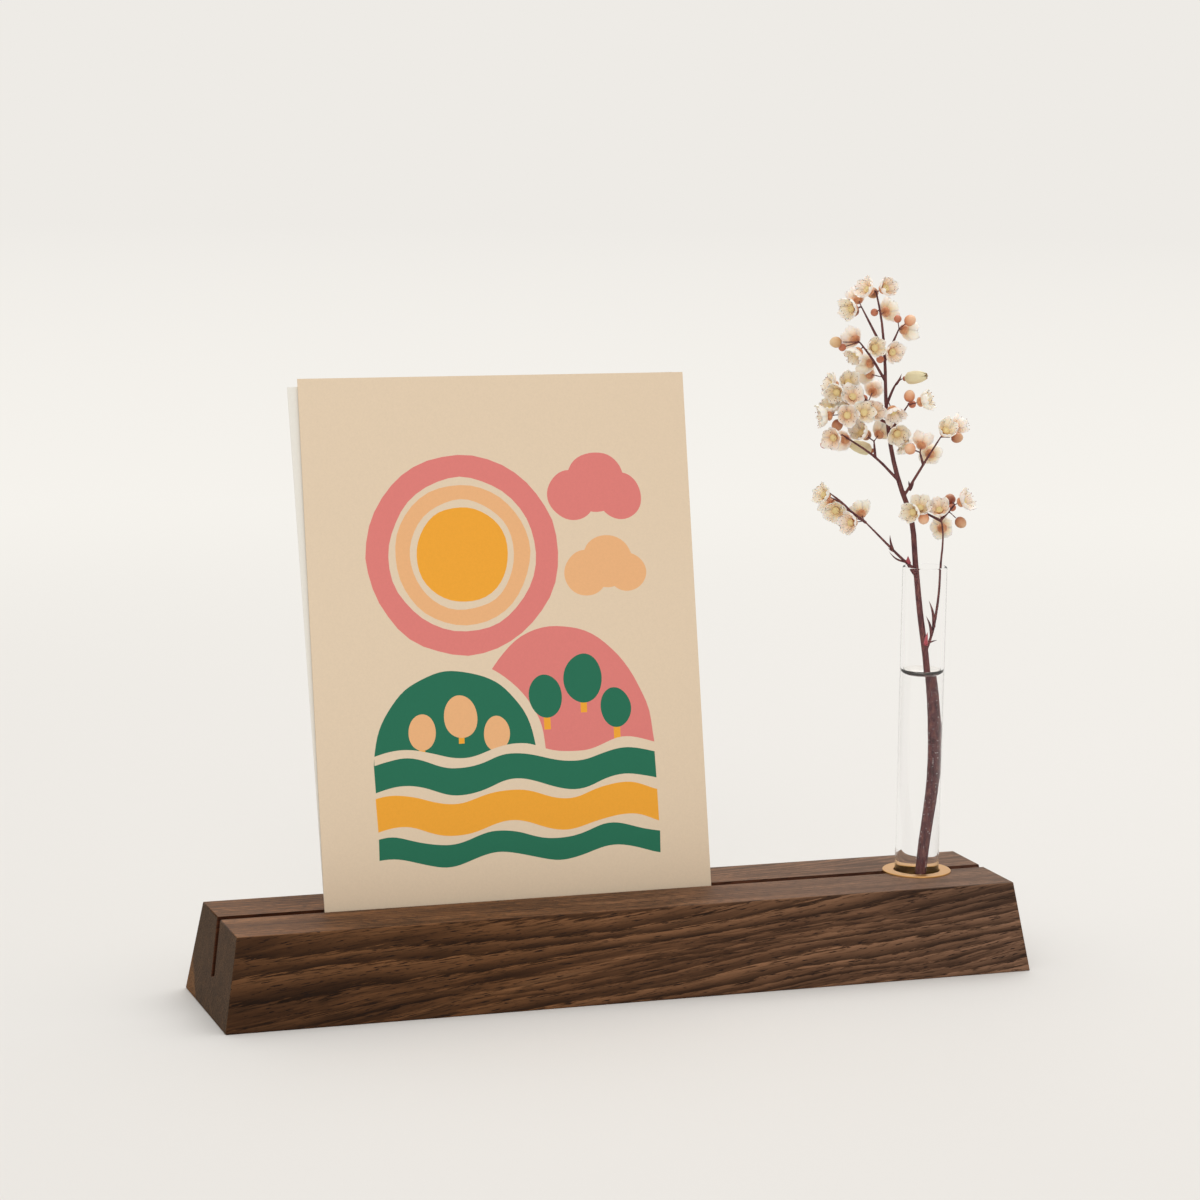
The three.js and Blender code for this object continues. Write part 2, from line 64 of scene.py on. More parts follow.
# The block
# One length of walnut, planed and bevelled on all four sides, sawn along its top for the cards and
# bored near its right end for the liner. Its arrises are only just broken, and it is oiled.
MM = 0.001
BLOCK_SLOPE = math.radians(9.3)
SLOT_WIDTH = 3.2 * MM
SLOT_DEPTH = 14.1 * MM
SLOT_TILT = math.radians(12)
SLOT_BEHIND_MIDDLE = 0.9 * MM
ARRIS = 0.35 * MM
ARRIS_BEND = math.radians(30)
SLOT_ARRIS_SHARE = 0.4
FLANGE_THICKNESS = 1.0 * MM
SLEEVE_OUTER = 7.0 * MM
SEAT_GAP = 0.04 * MM
SOCKET_SIDES = 96

block_low, block_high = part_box("base_block")
liner_low, liner_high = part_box("socket_liner")
socket = (liner_low + liner_high) / 2
flange_radius = (liner_high.x - liner_low.x) / 2
flange_under = liner_high.z - FLANGE_THICKNESS


def mesh_from(name, shape, scale=1):
    """Turns a finished shape into a mesh."""
    bmesh.ops.recalc_face_normals(shape, faces=shape.faces)
    bmesh.ops.scale(shape, vec=(scale, scale, scale), verts=shape.verts)
    mesh = bpy.data.meshes.new(name)
    shape.to_mesh(mesh)
    shape.free()
    return mesh


def put_in_scene(name, data):
    """Adds an object to the scene: a mesh, a lamp or a camera."""
    made = bpy.data.objects.new(name, data)
    bpy.context.scene.collection.objects.link(made)
    return made


def piece_from(name, shape):
    """Turns a finished shape into an object of the scene."""
    return put_in_scene(name, mesh_from(name, shape))


def smooth(mesh, sharp_degrees=180):
    """Shades a mesh smooth, apart from edges that bend more than this."""
    mesh.shade_smooth()
    mesh.set_sharp_from_angle(angle=math.radians(sharp_degrees))


def join_rings(shape, rings):
    """Faces between rings of points that follow each other. A ring of one point is a tip."""
    sides = max(len(ring) for ring in rings)
    made = []
    for below, above in zip(rings, rings[1:]):
        for step in range(sides):
            after = (step + 1) % sides
            path = ((below, step), (below, after), (above, after), (above, step))
            corners = dict.fromkeys(ring[i % len(ring)] for ring, i in path)
            made.append(shape.faces.new(list(corners)))
    return made


def turned(name, profile):
    """Solid turned about the socket's axis. Its profile starts and ends on the axis, or goes round."""
    shape = bmesh.new()
    rings = []
    for radius, height in profile:
        steps = SOCKET_SIDES if radius > 0 else 1
        turns = [math.tau * step / steps for step in range(steps)]
        ring = [(socket.x + radius * math.cos(a), socket.y + radius * math.sin(a), height) for a in turns]
        rings.append([shape.verts.new(spot) for spot in ring])
    if profile[0][0] > 0:
        rings.append(rings[0])
    join_rings(shape, rings)
    return piece_from(name, shape)


def block_shape():
    """The bevelled bar with its slot, before it is bored."""
    height = block_high.z
    inset = height * math.tan(BLOCK_SLOPE)
    floor_y = SLOT_BEHIND_MIDDLE - SLOT_DEPTH * math.tan(SLOT_TILT)
    floor_z = height - SLOT_DEPTH
    half = SLOT_WIDTH * math.cos(SLOT_TILT) / 2
    across, drop = half * math.cos(SLOT_TILT), half * math.sin(SLOT_TILT)
    outline = [
        (block_low.y, 0),
        (block_low.y + inset, height),
        (SLOT_BEHIND_MIDDLE - SLOT_WIDTH / 2, height),
        (floor_y - across, floor_z + drop),
        (floor_y + across, floor_z - drop),
        (SLOT_BEHIND_MIDDLE + SLOT_WIDTH / 2, height),
        (block_high.y - inset, height),
        (block_high.y, 0),
    ]
    shape = bmesh.new()
    ends = []
    for side in (-1, 1):
        reach = [side * (block_high.x - z * math.tan(BLOCK_SLOPE)) for _, z in outline]
        ends.append([shape.verts.new((x, *spot)) for x, spot in zip(reach, outline)])
        shape.faces.new(ends[-1])
    join_rings(shape, ends)
    return shape


bit = turned("bit", [
    (0, liner_low.z - SEAT_GAP),
    (SLEEVE_OUTER + SEAT_GAP, liner_low.z - SEAT_GAP),
    (SLEEVE_OUTER + SEAT_GAP, flange_under - SEAT_GAP),
    (flange_radius + SEAT_GAP, flange_under - SEAT_GAP),
    (flange_radius + SEAT_GAP, block_high.z * 2),
    (0, block_high.z * 2),
])
block = piece_from("walnut_block", block_shape())
drilling = block.modifiers.new("drilling", "BOOLEAN")
drilling.object = bit
drilling.operation = "DIFFERENCE"
drilling.solver = "EXACT"
view_now = bpy.context.evaluated_depsgraph_get()
bored = bpy.data.meshes.new_from_object(block.evaluated_get(view_now))
block.modifiers.clear()
block.data = bored
bpy.data.objects.remove(bit)

shape = bmesh.new()
shape.from_mesh(bored)
arris = shape.edges.layers.float.new("bevel_weight_edge")
for edge in shape.edges:
    at_socket = any((v.co - socket).xy.length < flange_radius + ARRIS for v in edge.verts)
    if at_socket or len(edge.link_faces) != 2 or edge.calc_face_angle() < ARRIS_BEND:
        continue
    in_slot = all(abs(v.co.y) < SLOT_WIDTH * 2 for v in edge.verts)
    edge[arris] = SLOT_ARRIS_SHARE if in_slot else 1
shape.to_mesh(bored)
shape.free()
sanding = block.modifiers.new("sanding", "BEVEL")
sanding.limit_method = "WEIGHT"
sanding.width = ARRIS
sanding.segments = 3
sanding.use_clamp_overlap = False
smooth(bored, 25)


def linear(code):
    """A colour written as sRGB hex, in the linear light that the shaders use."""
    tones = [int(code[i:i + 2], 16) / 255 for i in (1, 3, 5)]
    return [t / 12.92 if t <= 0.04045 else ((t + 0.055) / 1.055) ** 2.4 for t in tones] + [1]


def add(tree, kind, sockets, out=0, stops=(), **settings):
    """Adds a node with its settings, and gives one of its outputs. A socket takes a value, or an
    output of another node."""
    made = tree.nodes.new("ShaderNode" + kind)
    for name, value in settings.items():
        setattr(made, name, value)
    for key, value in sockets.items():
        if isinstance(value, bpy.types.NodeSocket):
            tree.links.new(value, made.inputs[key])
        else:
            made.inputs[key].default_value = value
    for step, (position, code) in enumerate(stops):
        ramp = made.color_ramp.elements
        point = ramp[step] if step < len(ramp) else ramp.new(1)
        point.position = position
        point.color = linear(code)
    return made.outputs[out]


def material(name, values):
    """A new material with the values that are the same all over it, then its nodes and its shader."""
    made = bpy.data.materials.new(name)
    made.use_nodes = True
    surface = made.node_tree.nodes["Principled BSDF"]
    for key, value in values.items():
        surface.inputs[key].default_value = value
    return made, made.node_tree, surface


def seat(piece, body, slot, *nodes):
    """Lets a piece move with its body and stand for its solids. The slot is not used."""
    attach(piece, body)
    if nodes:
        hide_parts(*nodes)


# Oiled walnut: brown heartwood whose yearly rings, wide and narrow, end in dark lines. The saw met them
# nearly flat on the front, where they climb to the right, and square on the top, where they lie close.
# Pores and fibres are drawn a little coarser than real ones, so that they show. The top is painted paler
# than the sides, as light from above, and greyer, as a painted reflection of the pale room, apart from a
# darker streak along its middle: the printed card's painted shade. Sizes are in millimetres, and those of
# a noise are its length along the grain and its width across it.
RING_WIDTH = 1.35
RING_UNEVENNESS = 2.2
RING_RAGGEDNESS = 1.3
RING_DRIFT = 7
FAINTEST_RING, STRONGEST_RING = 0.2, 0.85
PITH = (0, 26, 31)
GRAIN_RISE = math.radians(7)
GRAIN_SWAY = 6
SWAY_SIZE = (110, 20)
BAND_SIZE = (60, 3.4)
FIBRE_SIZE = (9, 0.4)
FIBRE_STRENGTH = 0.78
PORE_SIZE = (3.5, 0.32)
PORE_FROM, PORE_TO = 0.6, 0.68
PORE_DEPTH = 0.03
SAPWOOD_FROM, SAPWOOD_TO = 9.5, 11.5
TOP_FROM, TOP_TO = 0.6, 0.9
# The printed card's painted shade on the top: less painted reflection and light about its middle.
CARD_SHADE_MIDDLE = -29
CARD_SHADE_REACH, CARD_SHADE_END = 42, 67
CARD_SHADE_REFLECTION, TOP_PAINTED_REFLECTION = 0.04, 0.38
CARD_SHADE_LEVEL, LIT_TOP_LEVEL = 1.45, 1.92
BLOCK_REACH = 110
LEFT_LEVEL, RIGHT_LEVEL = 0.8, 1.65
GREYING_FROM = -40
RIGHT_SATURATION = 0.82
SHEEN_SPREAD = 0.2
END_FACING = 0.7
OILED, END_GRAIN, SHADED_SLOT = range(3)


def walnut(name, shade, share, roughness):
    """Walnut, mixed with a second tone: greyer where it is cut across the grain, and dark inside the slot as
    painted shade.
    """
    skin, tree, surface = material(name, {"Specular IOR Level": 0.08})
    metres = add(tree, "TexCoord", {}, "Object")
    place = add(tree, "VectorMath", {0: metres, "Scale": 1 / MM}, operation="SCALE")

    def stretched(spot, length, width):
        """The place, scaled so that a noise is this long and this wide."""
        sizes = (1 / length, 1 / width, 1 / width)
        return add(tree, "VectorMath", {0: spot, 1: sizes}, operation="MULTIPLY")

    sway = add(tree, "TexNoise", {"Vector": stretched(place, *SWAY_SIZE), "Scale": 1, "Detail": 2}, "Color")
    sway = add(tree, "VectorMath", {0: sway, 1: (0.5, 0.5, 0.5)}, operation="SUBTRACT")
    sway = add(tree, "VectorMath", {
        0: sway, 1: (0, GRAIN_SWAY, GRAIN_SWAY), 2: place}, operation="MULTIPLY_ADD")
    from_pith = add(tree, "VectorMath", {0: sway, 1: PITH}, operation="SUBTRACT")
    grain = add(tree, "Mapping", {"Vector": from_pith, "Rotation": (0, GRAIN_RISE, 0)})
    depth = add(tree, "VectorMath", {0: grain, 1: (0, 1, 1)}, operation="MULTIPLY")
    depth = add(tree, "VectorMath", {0: depth}, "Value", operation="LENGTH")
    ring = add(tree, "Math", {0: depth, 1: RING_WIDTH}, operation="DIVIDE")
    uneven = add(tree, "Math", {0: depth, 1: RING_DRIFT}, operation="DIVIDE")
    uneven = add(tree, "TexNoise", {"W": uneven, "Scale": 1, "Detail": 1}, noise_dimensions="1D")
    ring = add(tree, "Math", {0: uneven, 1: RING_UNEVENNESS, 2: ring}, operation="MULTIPLY_ADD")
    fibres = add(tree, "TexNoise", {
        "Vector": stretched(grain, *FIBRE_SIZE), "Scale": 1, "Detail": 4, "Roughness": 0.65})
    ring = add(tree, "Math", {0: fibres, 1: RING_RAGGEDNESS, 2: ring}, operation="MULTIPLY_ADD")
    season = add(tree, "Math", {0: ring}, operation="FRACT")
    ring_tone = add(tree, "ValToRGB", {"Fac": season}, stops=[
        (0, "#58381f"), (0.1, "#845b3b"), (0.45, "#6c482d"), (0.72, "#432a18"), (0.9, "#1f120a"),
        (1, "#38220f")])
    year = add(tree, "Math", {0: ring}, operation="FLOOR")
    year = add(tree, "TexWhiteNoise", {"W": year}, "Value", noise_dimensions="1D")
    ring_share = add(tree, "MapRange", {"Value": year, "To Min": FAINTEST_RING, "To Max": STRONGEST_RING})
    bands = add(tree, "TexNoise", {
        "Vector": stretched(grain, *BAND_SIZE), "Scale": 1, "Detail": 4, "Roughness": 0.6})
    heart_tone = add(tree, "ValToRGB", {"Fac": bands}, stops=[
        (0.3, "#2b190e"), (0.46, "#4d311d"), (0.58, "#6f4a2e"), (0.72, "#896141")])
    tone = add(tree, "Mix", {0: ring_share, 6: heart_tone, 7: ring_tone}, 2, data_type="RGBA")
    tone = add(tree, "Mix", {0: share, 6: tone, 7: linear(shade)}, 2, data_type="RGBA")

    # Paler sapwood along the foot of the back.
    spot = add(tree, "SeparateXYZ", {0: sway}).node.outputs
    sapwood = add(tree, "Math", {0: spot["Y"], 1: spot["Z"]}, operation="SUBTRACT")
    sapwood = add(tree, "MapRange", {"Value": sapwood, "From Min": SAPWOOD_FROM, "From Max": SAPWOOD_TO})
    tone = add(tree, "Mix", {0: sapwood, 6: tone, 7: linear("#8e6440")}, 2, data_type="RGBA")

    # Fibres and open pores.
    fibre_tone = add(tree, "ValToRGB", {"Fac": fibres}, stops=[
        (0.34, "#6a6a6a"), (0.5, "#dadada"), (0.62, "#ffffff")])
    tone = add(tree, "Mix", {
        0: FIBRE_STRENGTH, 6: tone, 7: fibre_tone}, 2, data_type="RGBA", blend_type="MULTIPLY")
    pores = add(tree, "TexNoise", {"Vector": stretched(grain, *PORE_SIZE), "Scale": 1, "Detail": 2})
    pores = add(tree, "MapRange", {"Value": pores, "From Min": PORE_FROM, "From Max": PORE_TO})
    tone = add(tree, "Mix", {0: pores, 6: tone, 7: linear("#22150f")}, 2, data_type="RGBA")

    # The top, painted lighter as lit from above and greyer as a painted reflection, apart from a darker
    # streak that is the printed card's painted shade; and the sides, paler and greyer to the right.
    facing = add(tree, "TexCoord", {}, "Normal")
    upward = add(tree, "SeparateXYZ", {0: facing}, "Z")
    upward = add(tree, "MapRange", {"Value": upward, "From Min": TOP_FROM, "From Max": TOP_TO})
    # Distance along the top from the middle of the card's painted shade.
    aside = add(tree, "Math", {0: spot["X"], 1: CARD_SHADE_MIDDLE}, operation="SUBTRACT")
    aside = add(tree, "Math", {0: aside}, operation="ABSOLUTE")
    aside = add(tree, "MapRange", {"Value": aside, "From Min": CARD_SHADE_REACH, "From Max": CARD_SHADE_END})
    # A grey-brown haze on the top: a painted reflection of the pale room, faint in the card's painted shade.
    painted_reflection = add(tree, "MapRange", {"Value": aside, "To Min": CARD_SHADE_REFLECTION, "To Max": TOP_PAINTED_REFLECTION})
    painted_reflection = add(tree, "Math", {0: upward, 1: painted_reflection}, operation="MULTIPLY")
    tone = add(tree, "Mix", {0: painted_reflection, 6: tone, 7: linear("#523f32")}, 2, data_type="RGBA")
    greying = add(tree, "MapRange", {
        "Value": spot["X"], "From Min": GREYING_FROM, "From Max": BLOCK_REACH,
        "To Min": 1, "To Max": RIGHT_SATURATION})
    tone = add(tree, "HueSaturation", {"Color": tone, "Saturation": greying})
    sides = add(tree, "MapRange", {
        "Value": spot["X"], "From Min": -BLOCK_REACH, "From Max": BLOCK_REACH,
        "To Min": LEFT_LEVEL, "To Max": RIGHT_LEVEL})
    # The top, painted lighter than the sides as if lit from above, less so in the card's painted shade.
    top = add(tree, "MapRange", {"Value": aside, "To Min": CARD_SHADE_LEVEL, "To Max": LIT_TOP_LEVEL})
    level = add(tree, "Mix", {0: upward, 2: sides, 3: top})
    tone = add(tree, "VectorMath", {0: tone, "Scale": level}, operation="SCALE")
    tree.links.new(tone, surface.inputs["Base Color"])

    sheen = add(tree, "MapRange", {
        "Value": fibres, "To Min": roughness, "To Max": roughness + SHEEN_SPREAD})
    tree.links.new(sheen, surface.inputs["Roughness"])
    relief = add(tree, "Math", {0: fibres, 1: pores}, operation="SUBTRACT")
    relief = add(tree, "Bump", {"Height": relief, "Strength": 0.5, "Distance": PORE_DEPTH * MM})
    tree.links.new(relief, surface.inputs["Normal"])
    return skin


block.data.materials.append(walnut("oiled_walnut", "#2b190e", 0, 0.45))
block.data.materials.append(walnut("walnut_end_grain", "#64513f", 0.65, 0.65))
# The slot's walls, mixed far towards dark brown: painted shade of the narrow slot.
block.data.materials.append(walnut("slot_in_painted_shade", "#4a2412", 0.85, 0.7))
for face in block.data.polygons:
    face.material_index = OILED
    if abs(face.normal.x) > END_FACING:
        face.material_index = END_GRAIN
    elif abs(face.center.y) < SLOT_WIDTH * 2 and 0 < face.center.z < block_high.z - ARRIS:
        face.material_index = SHADED_SLOT
seat(block, "base", "dark_wood", "base_block")

# The socket liner
# A brass sleeve with a thin flange, turned in one piece and pressed into the bore. The flange lies in
# its recess, a little proud of the wood, and the sleeve keeps the wood dry.
SLEEVE_INNER = 6.2 * MM
FLANGE_EDGE = 0.15 * MM
liner = turned("brass_liner", [
    (SLEEVE_INNER, liner_low.z),
    (SLEEVE_OUTER, liner_low.z),
    (SLEEVE_OUTER, flange_under),
    (flange_radius, flange_under),
    (flange_radius, liner_high.z - FLANGE_EDGE),
    (flange_radius - FLANGE_EDGE, liner_high.z),
    (SLEEVE_INNER + FLANGE_EDGE, liner_high.z),
    (SLEEVE_INNER, liner_high.z - FLANGE_EDGE),
])
smooth(liner.data, 30)

# Satin brass: a warm, soft shine that the turning marks break up into fine rings.
TURNING_MARK = 0.25 * MM
TURNING_DEPTH = 0.02 * MM
brass, tree, surface = material("satin_brass", {
    "Base Color": linear("#d5a365"), "Metallic": 1, "Roughness": 0.34})
metres = add(tree, "TexCoord", {}, "Object")
from_axis = add(tree, "VectorMath", {0: metres, 1: socket}, operation="SUBTRACT")
from_axis = add(tree, "VectorMath", {0: from_axis, 1: (1, 1, 0)}, operation="MULTIPLY")
reach = add(tree, "VectorMath", {0: from_axis}, "Value", operation="LENGTH")
marks = add(tree, "Math", {0: reach, 1: 1 / TURNING_MARK}, operation="MULTIPLY")
marks = add(tree, "TexNoise", {"W": marks, "Scale": 1, "Detail": 2}, noise_dimensions="1D")
relief = add(tree, "Bump", {"Height": marks, "Strength": 0.3, "Distance": TURNING_DEPTH})
tree.links.new(relief, surface.inputs["Normal"])
liner.data.materials.append(brass)
seat(liner, "base", "brass", "socket_liner")

# The rear card
# A plain card that stands in the slot behind the printed one, turned a little, so that only a strip
# of it shows at the left. Cut from stiff white card.
CARD_THICKNESS = 0.4 * MM
REAR_CARD_SIZE = (105 * MM, 148 * MM)
REAR_CARD_TURN = math.radians(1.2)
INSIDE_OUTLINES = 1
WELD = 1e-7
SAME_PLACE = 1e-6


def card_shape(width, height, print_faces=()):
    """A card standing on its lower left corner. Its front is cut along the outlines of the print,
    which lie one over the other in the order given; each face keeps the ink that lies on top."""
    sheet = [(0, 0), (width, 0), (width, height), (0, height)]
    spots = []
    outlines = []
    for outline in [sheet] + [face for _, face in print_faces]:
        outlines.append(list(range(len(spots), len(spots) + len(outline))))
        spots += [Vector(spot) for spot in outline]
    cut = delaunay_2d_cdt(spots, [], outlines, INSIDE_OUTLINES, WELD)
    corner_spots, triangles, layers_of = cut[0], cut[2], cut[5]
    inks = [0] + [ink for ink, _ in print_faces]
    shape = bmesh.new()
    front = [shape.verts.new((spot.x, -CARD_THICKNESS / 2, spot.y)) for spot in corner_spots]
    for corners, layers in zip(triangles, layers_of):
        shape.faces.new([front[i] for i in corners]).material_index = inks[max(layers)]
    before = []
    for corner in sheet:
        at_corner = ((spot - Vector(corner)).length < SAME_PLACE for spot in corner_spots)
        before.append(front[list(at_corner).index(True)])
    behind = [shape.verts.new((x, CARD_THICKNESS / 2, z)) for x, z in sheet]
    shape.faces.new(behind)
    join_rings(shape, [before, behind])
    return shape


def stand_card(card, node, height, turn):
    """Puts a card into the slot, where the solid stands."""
    low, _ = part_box(node)
    half = CARD_THICKNESS / 2
    corner = (
        low.x + height * math.sin(turn),
        low.y + half * math.cos(SLOT_TILT),
        low.z + half * math.sin(SLOT_TILT))
    lean = Matrix.Rotation(-SLOT_TILT, 4, "X") @ Matrix.Rotation(-turn, 4, "Y")
    card.matrix_world = Matrix.Translation(corner) @ lean


def pressed(name, code, roughness, mottle, grain_mm):
    """Paper or ink: matt, with a faint mottle."""
    made, tree, surface = material(name, {"Roughness": roughness, "Specular IOR Level": 0.25})
    metres = add(tree, "TexCoord", {}, "Object")
    specks = add(tree, "TexNoise", {
        "Vector": metres, "Scale": 1 / (grain_mm * MM), "Detail": 3, "Roughness": 0.6})
    level = add(tree, "MapRange", {"Value": specks, "To Min": 1 - mottle, "To Max": 1 + mottle})
    tone = add(tree, "VectorMath", {0: linear(code)[:3], "Scale": level}, operation="SCALE")
    tree.links.new(tone, surface.inputs["Base Color"])
    return made


# White card: matt and cool beside the printed one.
rear_card = piece_from("white_card", card_shape(*REAR_CARD_SIZE))
rear_card.data.materials.append(pressed("white_card", "#efece4", 0.85, 0.03, 0.6))
stand_card(rear_card, "rear_card", REAR_CARD_SIZE[1], REAR_CARD_TURN)
seat(rear_card, "rear_card", "plain_card", "rear_card")

# The front card
# A cream card in the slot, with a print in four flat inks inside a wide margin: a sun, clouds, hills
# with round trees, and water. The shapes look cut out by hand, and are given in millimetres.
FRONT_CARD_SIZE = (105 * MM, 150 * MM)
PRINT_LEFT, PRINT_RIGHT = 15, 91.5
PAPER, PINK, PEACH, GREEN, OCHRE = range(5)
HAND_CUT = 0.5
HAND_CUT_LENGTH = 9
HAND_CUT_CHANGE = 7.3
HAND_CUT_SEED = 1
SUN = (41.5, 103.5)
SUN_RINGS = ((PINK, 26), (PAPER, 20), (PEACH, 18.2), (PAPER, 14.2), (OCHRE, 12.4))
CLOUD_PUFFS = (
    (PINK, 72, 118, 6.5), (PINK, 79, 121.5, 7.8), (PINK, 85.5, 117.5, 6),
    (PEACH, 75, 97.5, 6), (PEACH, 81, 100.5, 7), (PEACH, 86.3, 97.5, 5.2),
)
HILLS = ((PINK, 66, 50, 25.5, 34), (PAPER, 37, 50, 24.5, 26), (GREEN, 37, 50, 22, 23.5))
TALL_TREES = ((62, 66, 4.6), (72.5, 70, 5.2), (81, 62, 4.2))
SMALL_TREES = ((28, 58, 3.8), (38.5, 61.5, 4.4), (48, 57, 3.6))
CROWN_HEIGHT = 1.25
WAVES = ((PAPER, 40, 52.5, 0), (GREEN, 43, 50, 0), (OCHRE, 32.5, 40.7, 0.5), (GREEN, 24.6, 30.2, 1))
WAVE_SWING = 1.6
WAVE_COUNT = 2.5
noise.seed_set(HAND_CUT_SEED)
print_faces = []


def cut_out(ink, outline):
    """Adds one shape of the print."""
    cut = []
    for u, w in outline:
        place = (u / HAND_CUT_LENGTH, w / HAND_CUT_LENGTH, ink * HAND_CUT_CHANGE)
        slip = noise.noise_vector(place) * HAND_CUT
        cut.append(((u + slip.x) * MM, (w + slip.y) * MM))
    print_faces.append((ink, cut))


def disc(ink, u, w, radius, height=None, end=360):
    """A round shape, or the part of it up to an angle."""
    steps = 40
    span = [math.radians(end * i / steps) for i in range(steps + (end < 360))]
    cut_out(ink, [(u + radius * math.cos(a), w + (height or radius) * math.sin(a)) for a in span])


def round_tree(ink, u, w, crown, trunk, foot):
    """A tree with an egg-shaped crown. Its trunk goes down from the crown's middle to its foot."""
    half = trunk / 2
    cut_out(OCHRE, [(u - half, w - foot), (u + half, w - foot), (u + half, w), (u - half, w)])
    disc(ink, u, w, crown, crown * CROWN_HEIGHT)


def wave(ink, low, high, shift):
    """A band across the print with a wavy top and bottom."""
    steps = 60
    across = [PRINT_LEFT + (PRINT_RIGHT - PRINT_LEFT) * i / steps for i in range(steps + 1)]
    rise = [WAVE_SWING * math.sin(math.tau * WAVE_COUNT * i / steps + shift) for i in range(steps + 1)]
    upper = [(u, high + r) for u, r in zip(across, rise)]
    lower = [(u, low + r) for u, r in zip(across, rise)]
    cut_out(ink, lower + upper[::-1])


for ink, radius in SUN_RINGS:
    disc(ink, *SUN, radius)
for puff in CLOUD_PUFFS:
    disc(*puff)
for hill in HILLS:
    disc(*hill, end=180)
for tall in TALL_TREES:
    round_tree(GREEN, *tall, trunk=1.8, foot=9)
for small in SMALL_TREES:
    round_tree(PEACH, *small, trunk=1.6, foot=7)
for band in WAVES:
    wave(*band)

# Cream paper, matt and a little yellowed, with four opaque inks that lie flat on it.
front_card = piece_from("printed_card", card_shape(*FRONT_CARD_SIZE, print_faces))
for name, code in (("cream_paper", "#e7d2b7"), ("pink_ink", "#e2827c"), ("peach_ink", "#efb783"),
                   ("green_ink", "#267156"), ("ochre_ink", "#f4aa38")):
    front_card.data.materials.append(pressed(name, code, 0.8, 0.05, 0.5))
stand_card(front_card, "front_card", FRONT_CARD_SIZE[1], 0)
seat(front_card, "front_card", "printed_card", "front_card")

# The tube
# A plain round-bottomed tube of clear glass, drawn in the flame, with a fire-rounded rim. It drops
# loosely into the liner.
TUBE_WALL = 0.8 * MM
BOWL_FROM = -86
tube_low, tube_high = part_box("glass_tube")
tube_radius = (tube_high.x - tube_low.x) / 2
bore_radius = tube_radius - TUBE_WALL


def arc(reach, height, bend, start, end, steps=16):
    """Points of a turned profile on an arc. Its angles are in degrees from straight out."""
    turns = [math.radians(start + (end - start) * step / steps) for step in range(steps + 1)]
    return [(max(0, reach + bend * math.cos(a)), height + bend * math.sin(a)) for a in turns]


bowl = tube_low.z + tube_radius
rim = TUBE_WALL / 2
tube = turned("glass_tube_clear", [
    (0, tube_low.z),
    *arc(0, bowl, tube_radius, BOWL_FROM, 0),
    *arc(tube_radius - rim, tube_high.z - rim, rim, 0, 180),
    *arc(0, bowl, bore_radius, 0, BOWL_FROM),
    (0, bowl - bore_radius),
])
smooth(tube.data, 40)

# Clear laboratory glass: almost unseen, apart from its rim and the darker lines at its sides.
glass = material("clear_glass", {
    "Base Color": linear("#ffffff"), "Roughness": 0, "IOR": 1.12, "Transmission Weight": 1})[0]
tube.data.materials.append(glass)
tube.visible_shadow = False
seat(tube, "vase", "clear_glass", "glass_tube")

# The water
# Fills about two thirds of the tube, wets the glass and creeps up its wall in a thin curved edge.
MENISCUS = 1.6 * MM
MENISCUS_REACH = 2.3 * MM
MENISCUS_STEPS = 16
EDGE_SHARE = 0.98
WETS_GLASS = 0.03 * MM
WATER_IOR = 1.333
_, water_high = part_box("water")
wet_radius = bore_radius + WETS_GLASS
flat_level = water_high.z - MENISCUS
edge = []
for step in range(MENISCUS_STEPS + 1):
    inwards = step / MENISCUS_STEPS
    drop = MENISCUS * (1 - (1 - inwards) ** 2)
    edge.append((wet_radius - MENISCUS_REACH * inwards, water_high.z - drop))
water = turned("tube_water", [
    (0, bowl - wet_radius),
    *arc(0, bowl, wet_radius, BOWL_FROM, 0),
    *edge,
    (0, flat_level),
])
smooth(water.data, 60)

# Clear water. Its curved edge turns the light aside; it is given a little white there, a painted
# reflection that makes it show as a dull grey line rather than a dark one.
clear_water = material("clear_water", {
    "Base Color": linear("#ffffff"), "Roughness": 0, "IOR": WATER_IOR, "Transmission Weight": 1})[0]
water_edge = material("water_edge", {
    "Base Color": linear("#fffdf8"), "Roughness": 0, "IOR": WATER_IOR, "Transmission Weight": 0.87})[0]
water.data.materials.append(clear_water)
water.data.materials.append(water_edge)
for face in water.data.polygons:
    if face.center.z > water_high.z - MENISCUS * EDGE_SHARE:
        face.material_index = 1
water.visible_shadow = False
seat(water, "vase", "water", "water")

# The sprig's wood
# The stem, its twigs and the flower stalks, grown as one piece: thin, knotty and dark red-brown. Its
# bark has blotches along the wood, and they stand up a little. Their sizes are in millimetres.
WOOD_VOXEL = 0.16 * MM
WOOD_FILL = 0.02 * MM
BLOTCH_WIDTH = 1 / 1.8
BLOTCH_LENGTH = 2
BLOTCH_HEIGHT = 0.1
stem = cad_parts["sprig_stem"]
knit = stem.modifiers.new("grown together", "REMESH")
knit.mode = "VOXEL"
knit.voxel_size = WOOD_VOXEL
knit.use_smooth_shade = True
ease = stem.modifiers.new("eased", "SMOOTH")
ease.factor = 0.5
ease.iterations = 3
fill = stem.modifiers.new("filled out", "DISPLACE")
fill.strength = WOOD_FILL
fill.mid_level = 0
bark, tree, surface = material("red_brown_bark", {"Roughness": 0.6, "Specular IOR Level": 0.35})
metres = add(tree, "TexCoord", {}, "Object")
blotch_sizes = [1 / (size * MM) for size in (BLOTCH_WIDTH, BLOTCH_WIDTH, BLOTCH_LENGTH)]
bark_place = add(tree, "VectorMath", {0: metres, 1: blotch_sizes}, operation="MULTIPLY")
blotches = add(tree, "TexNoise", {"Vector": bark_place, "Scale": 1, "Detail": 4, "Roughness": 0.65})
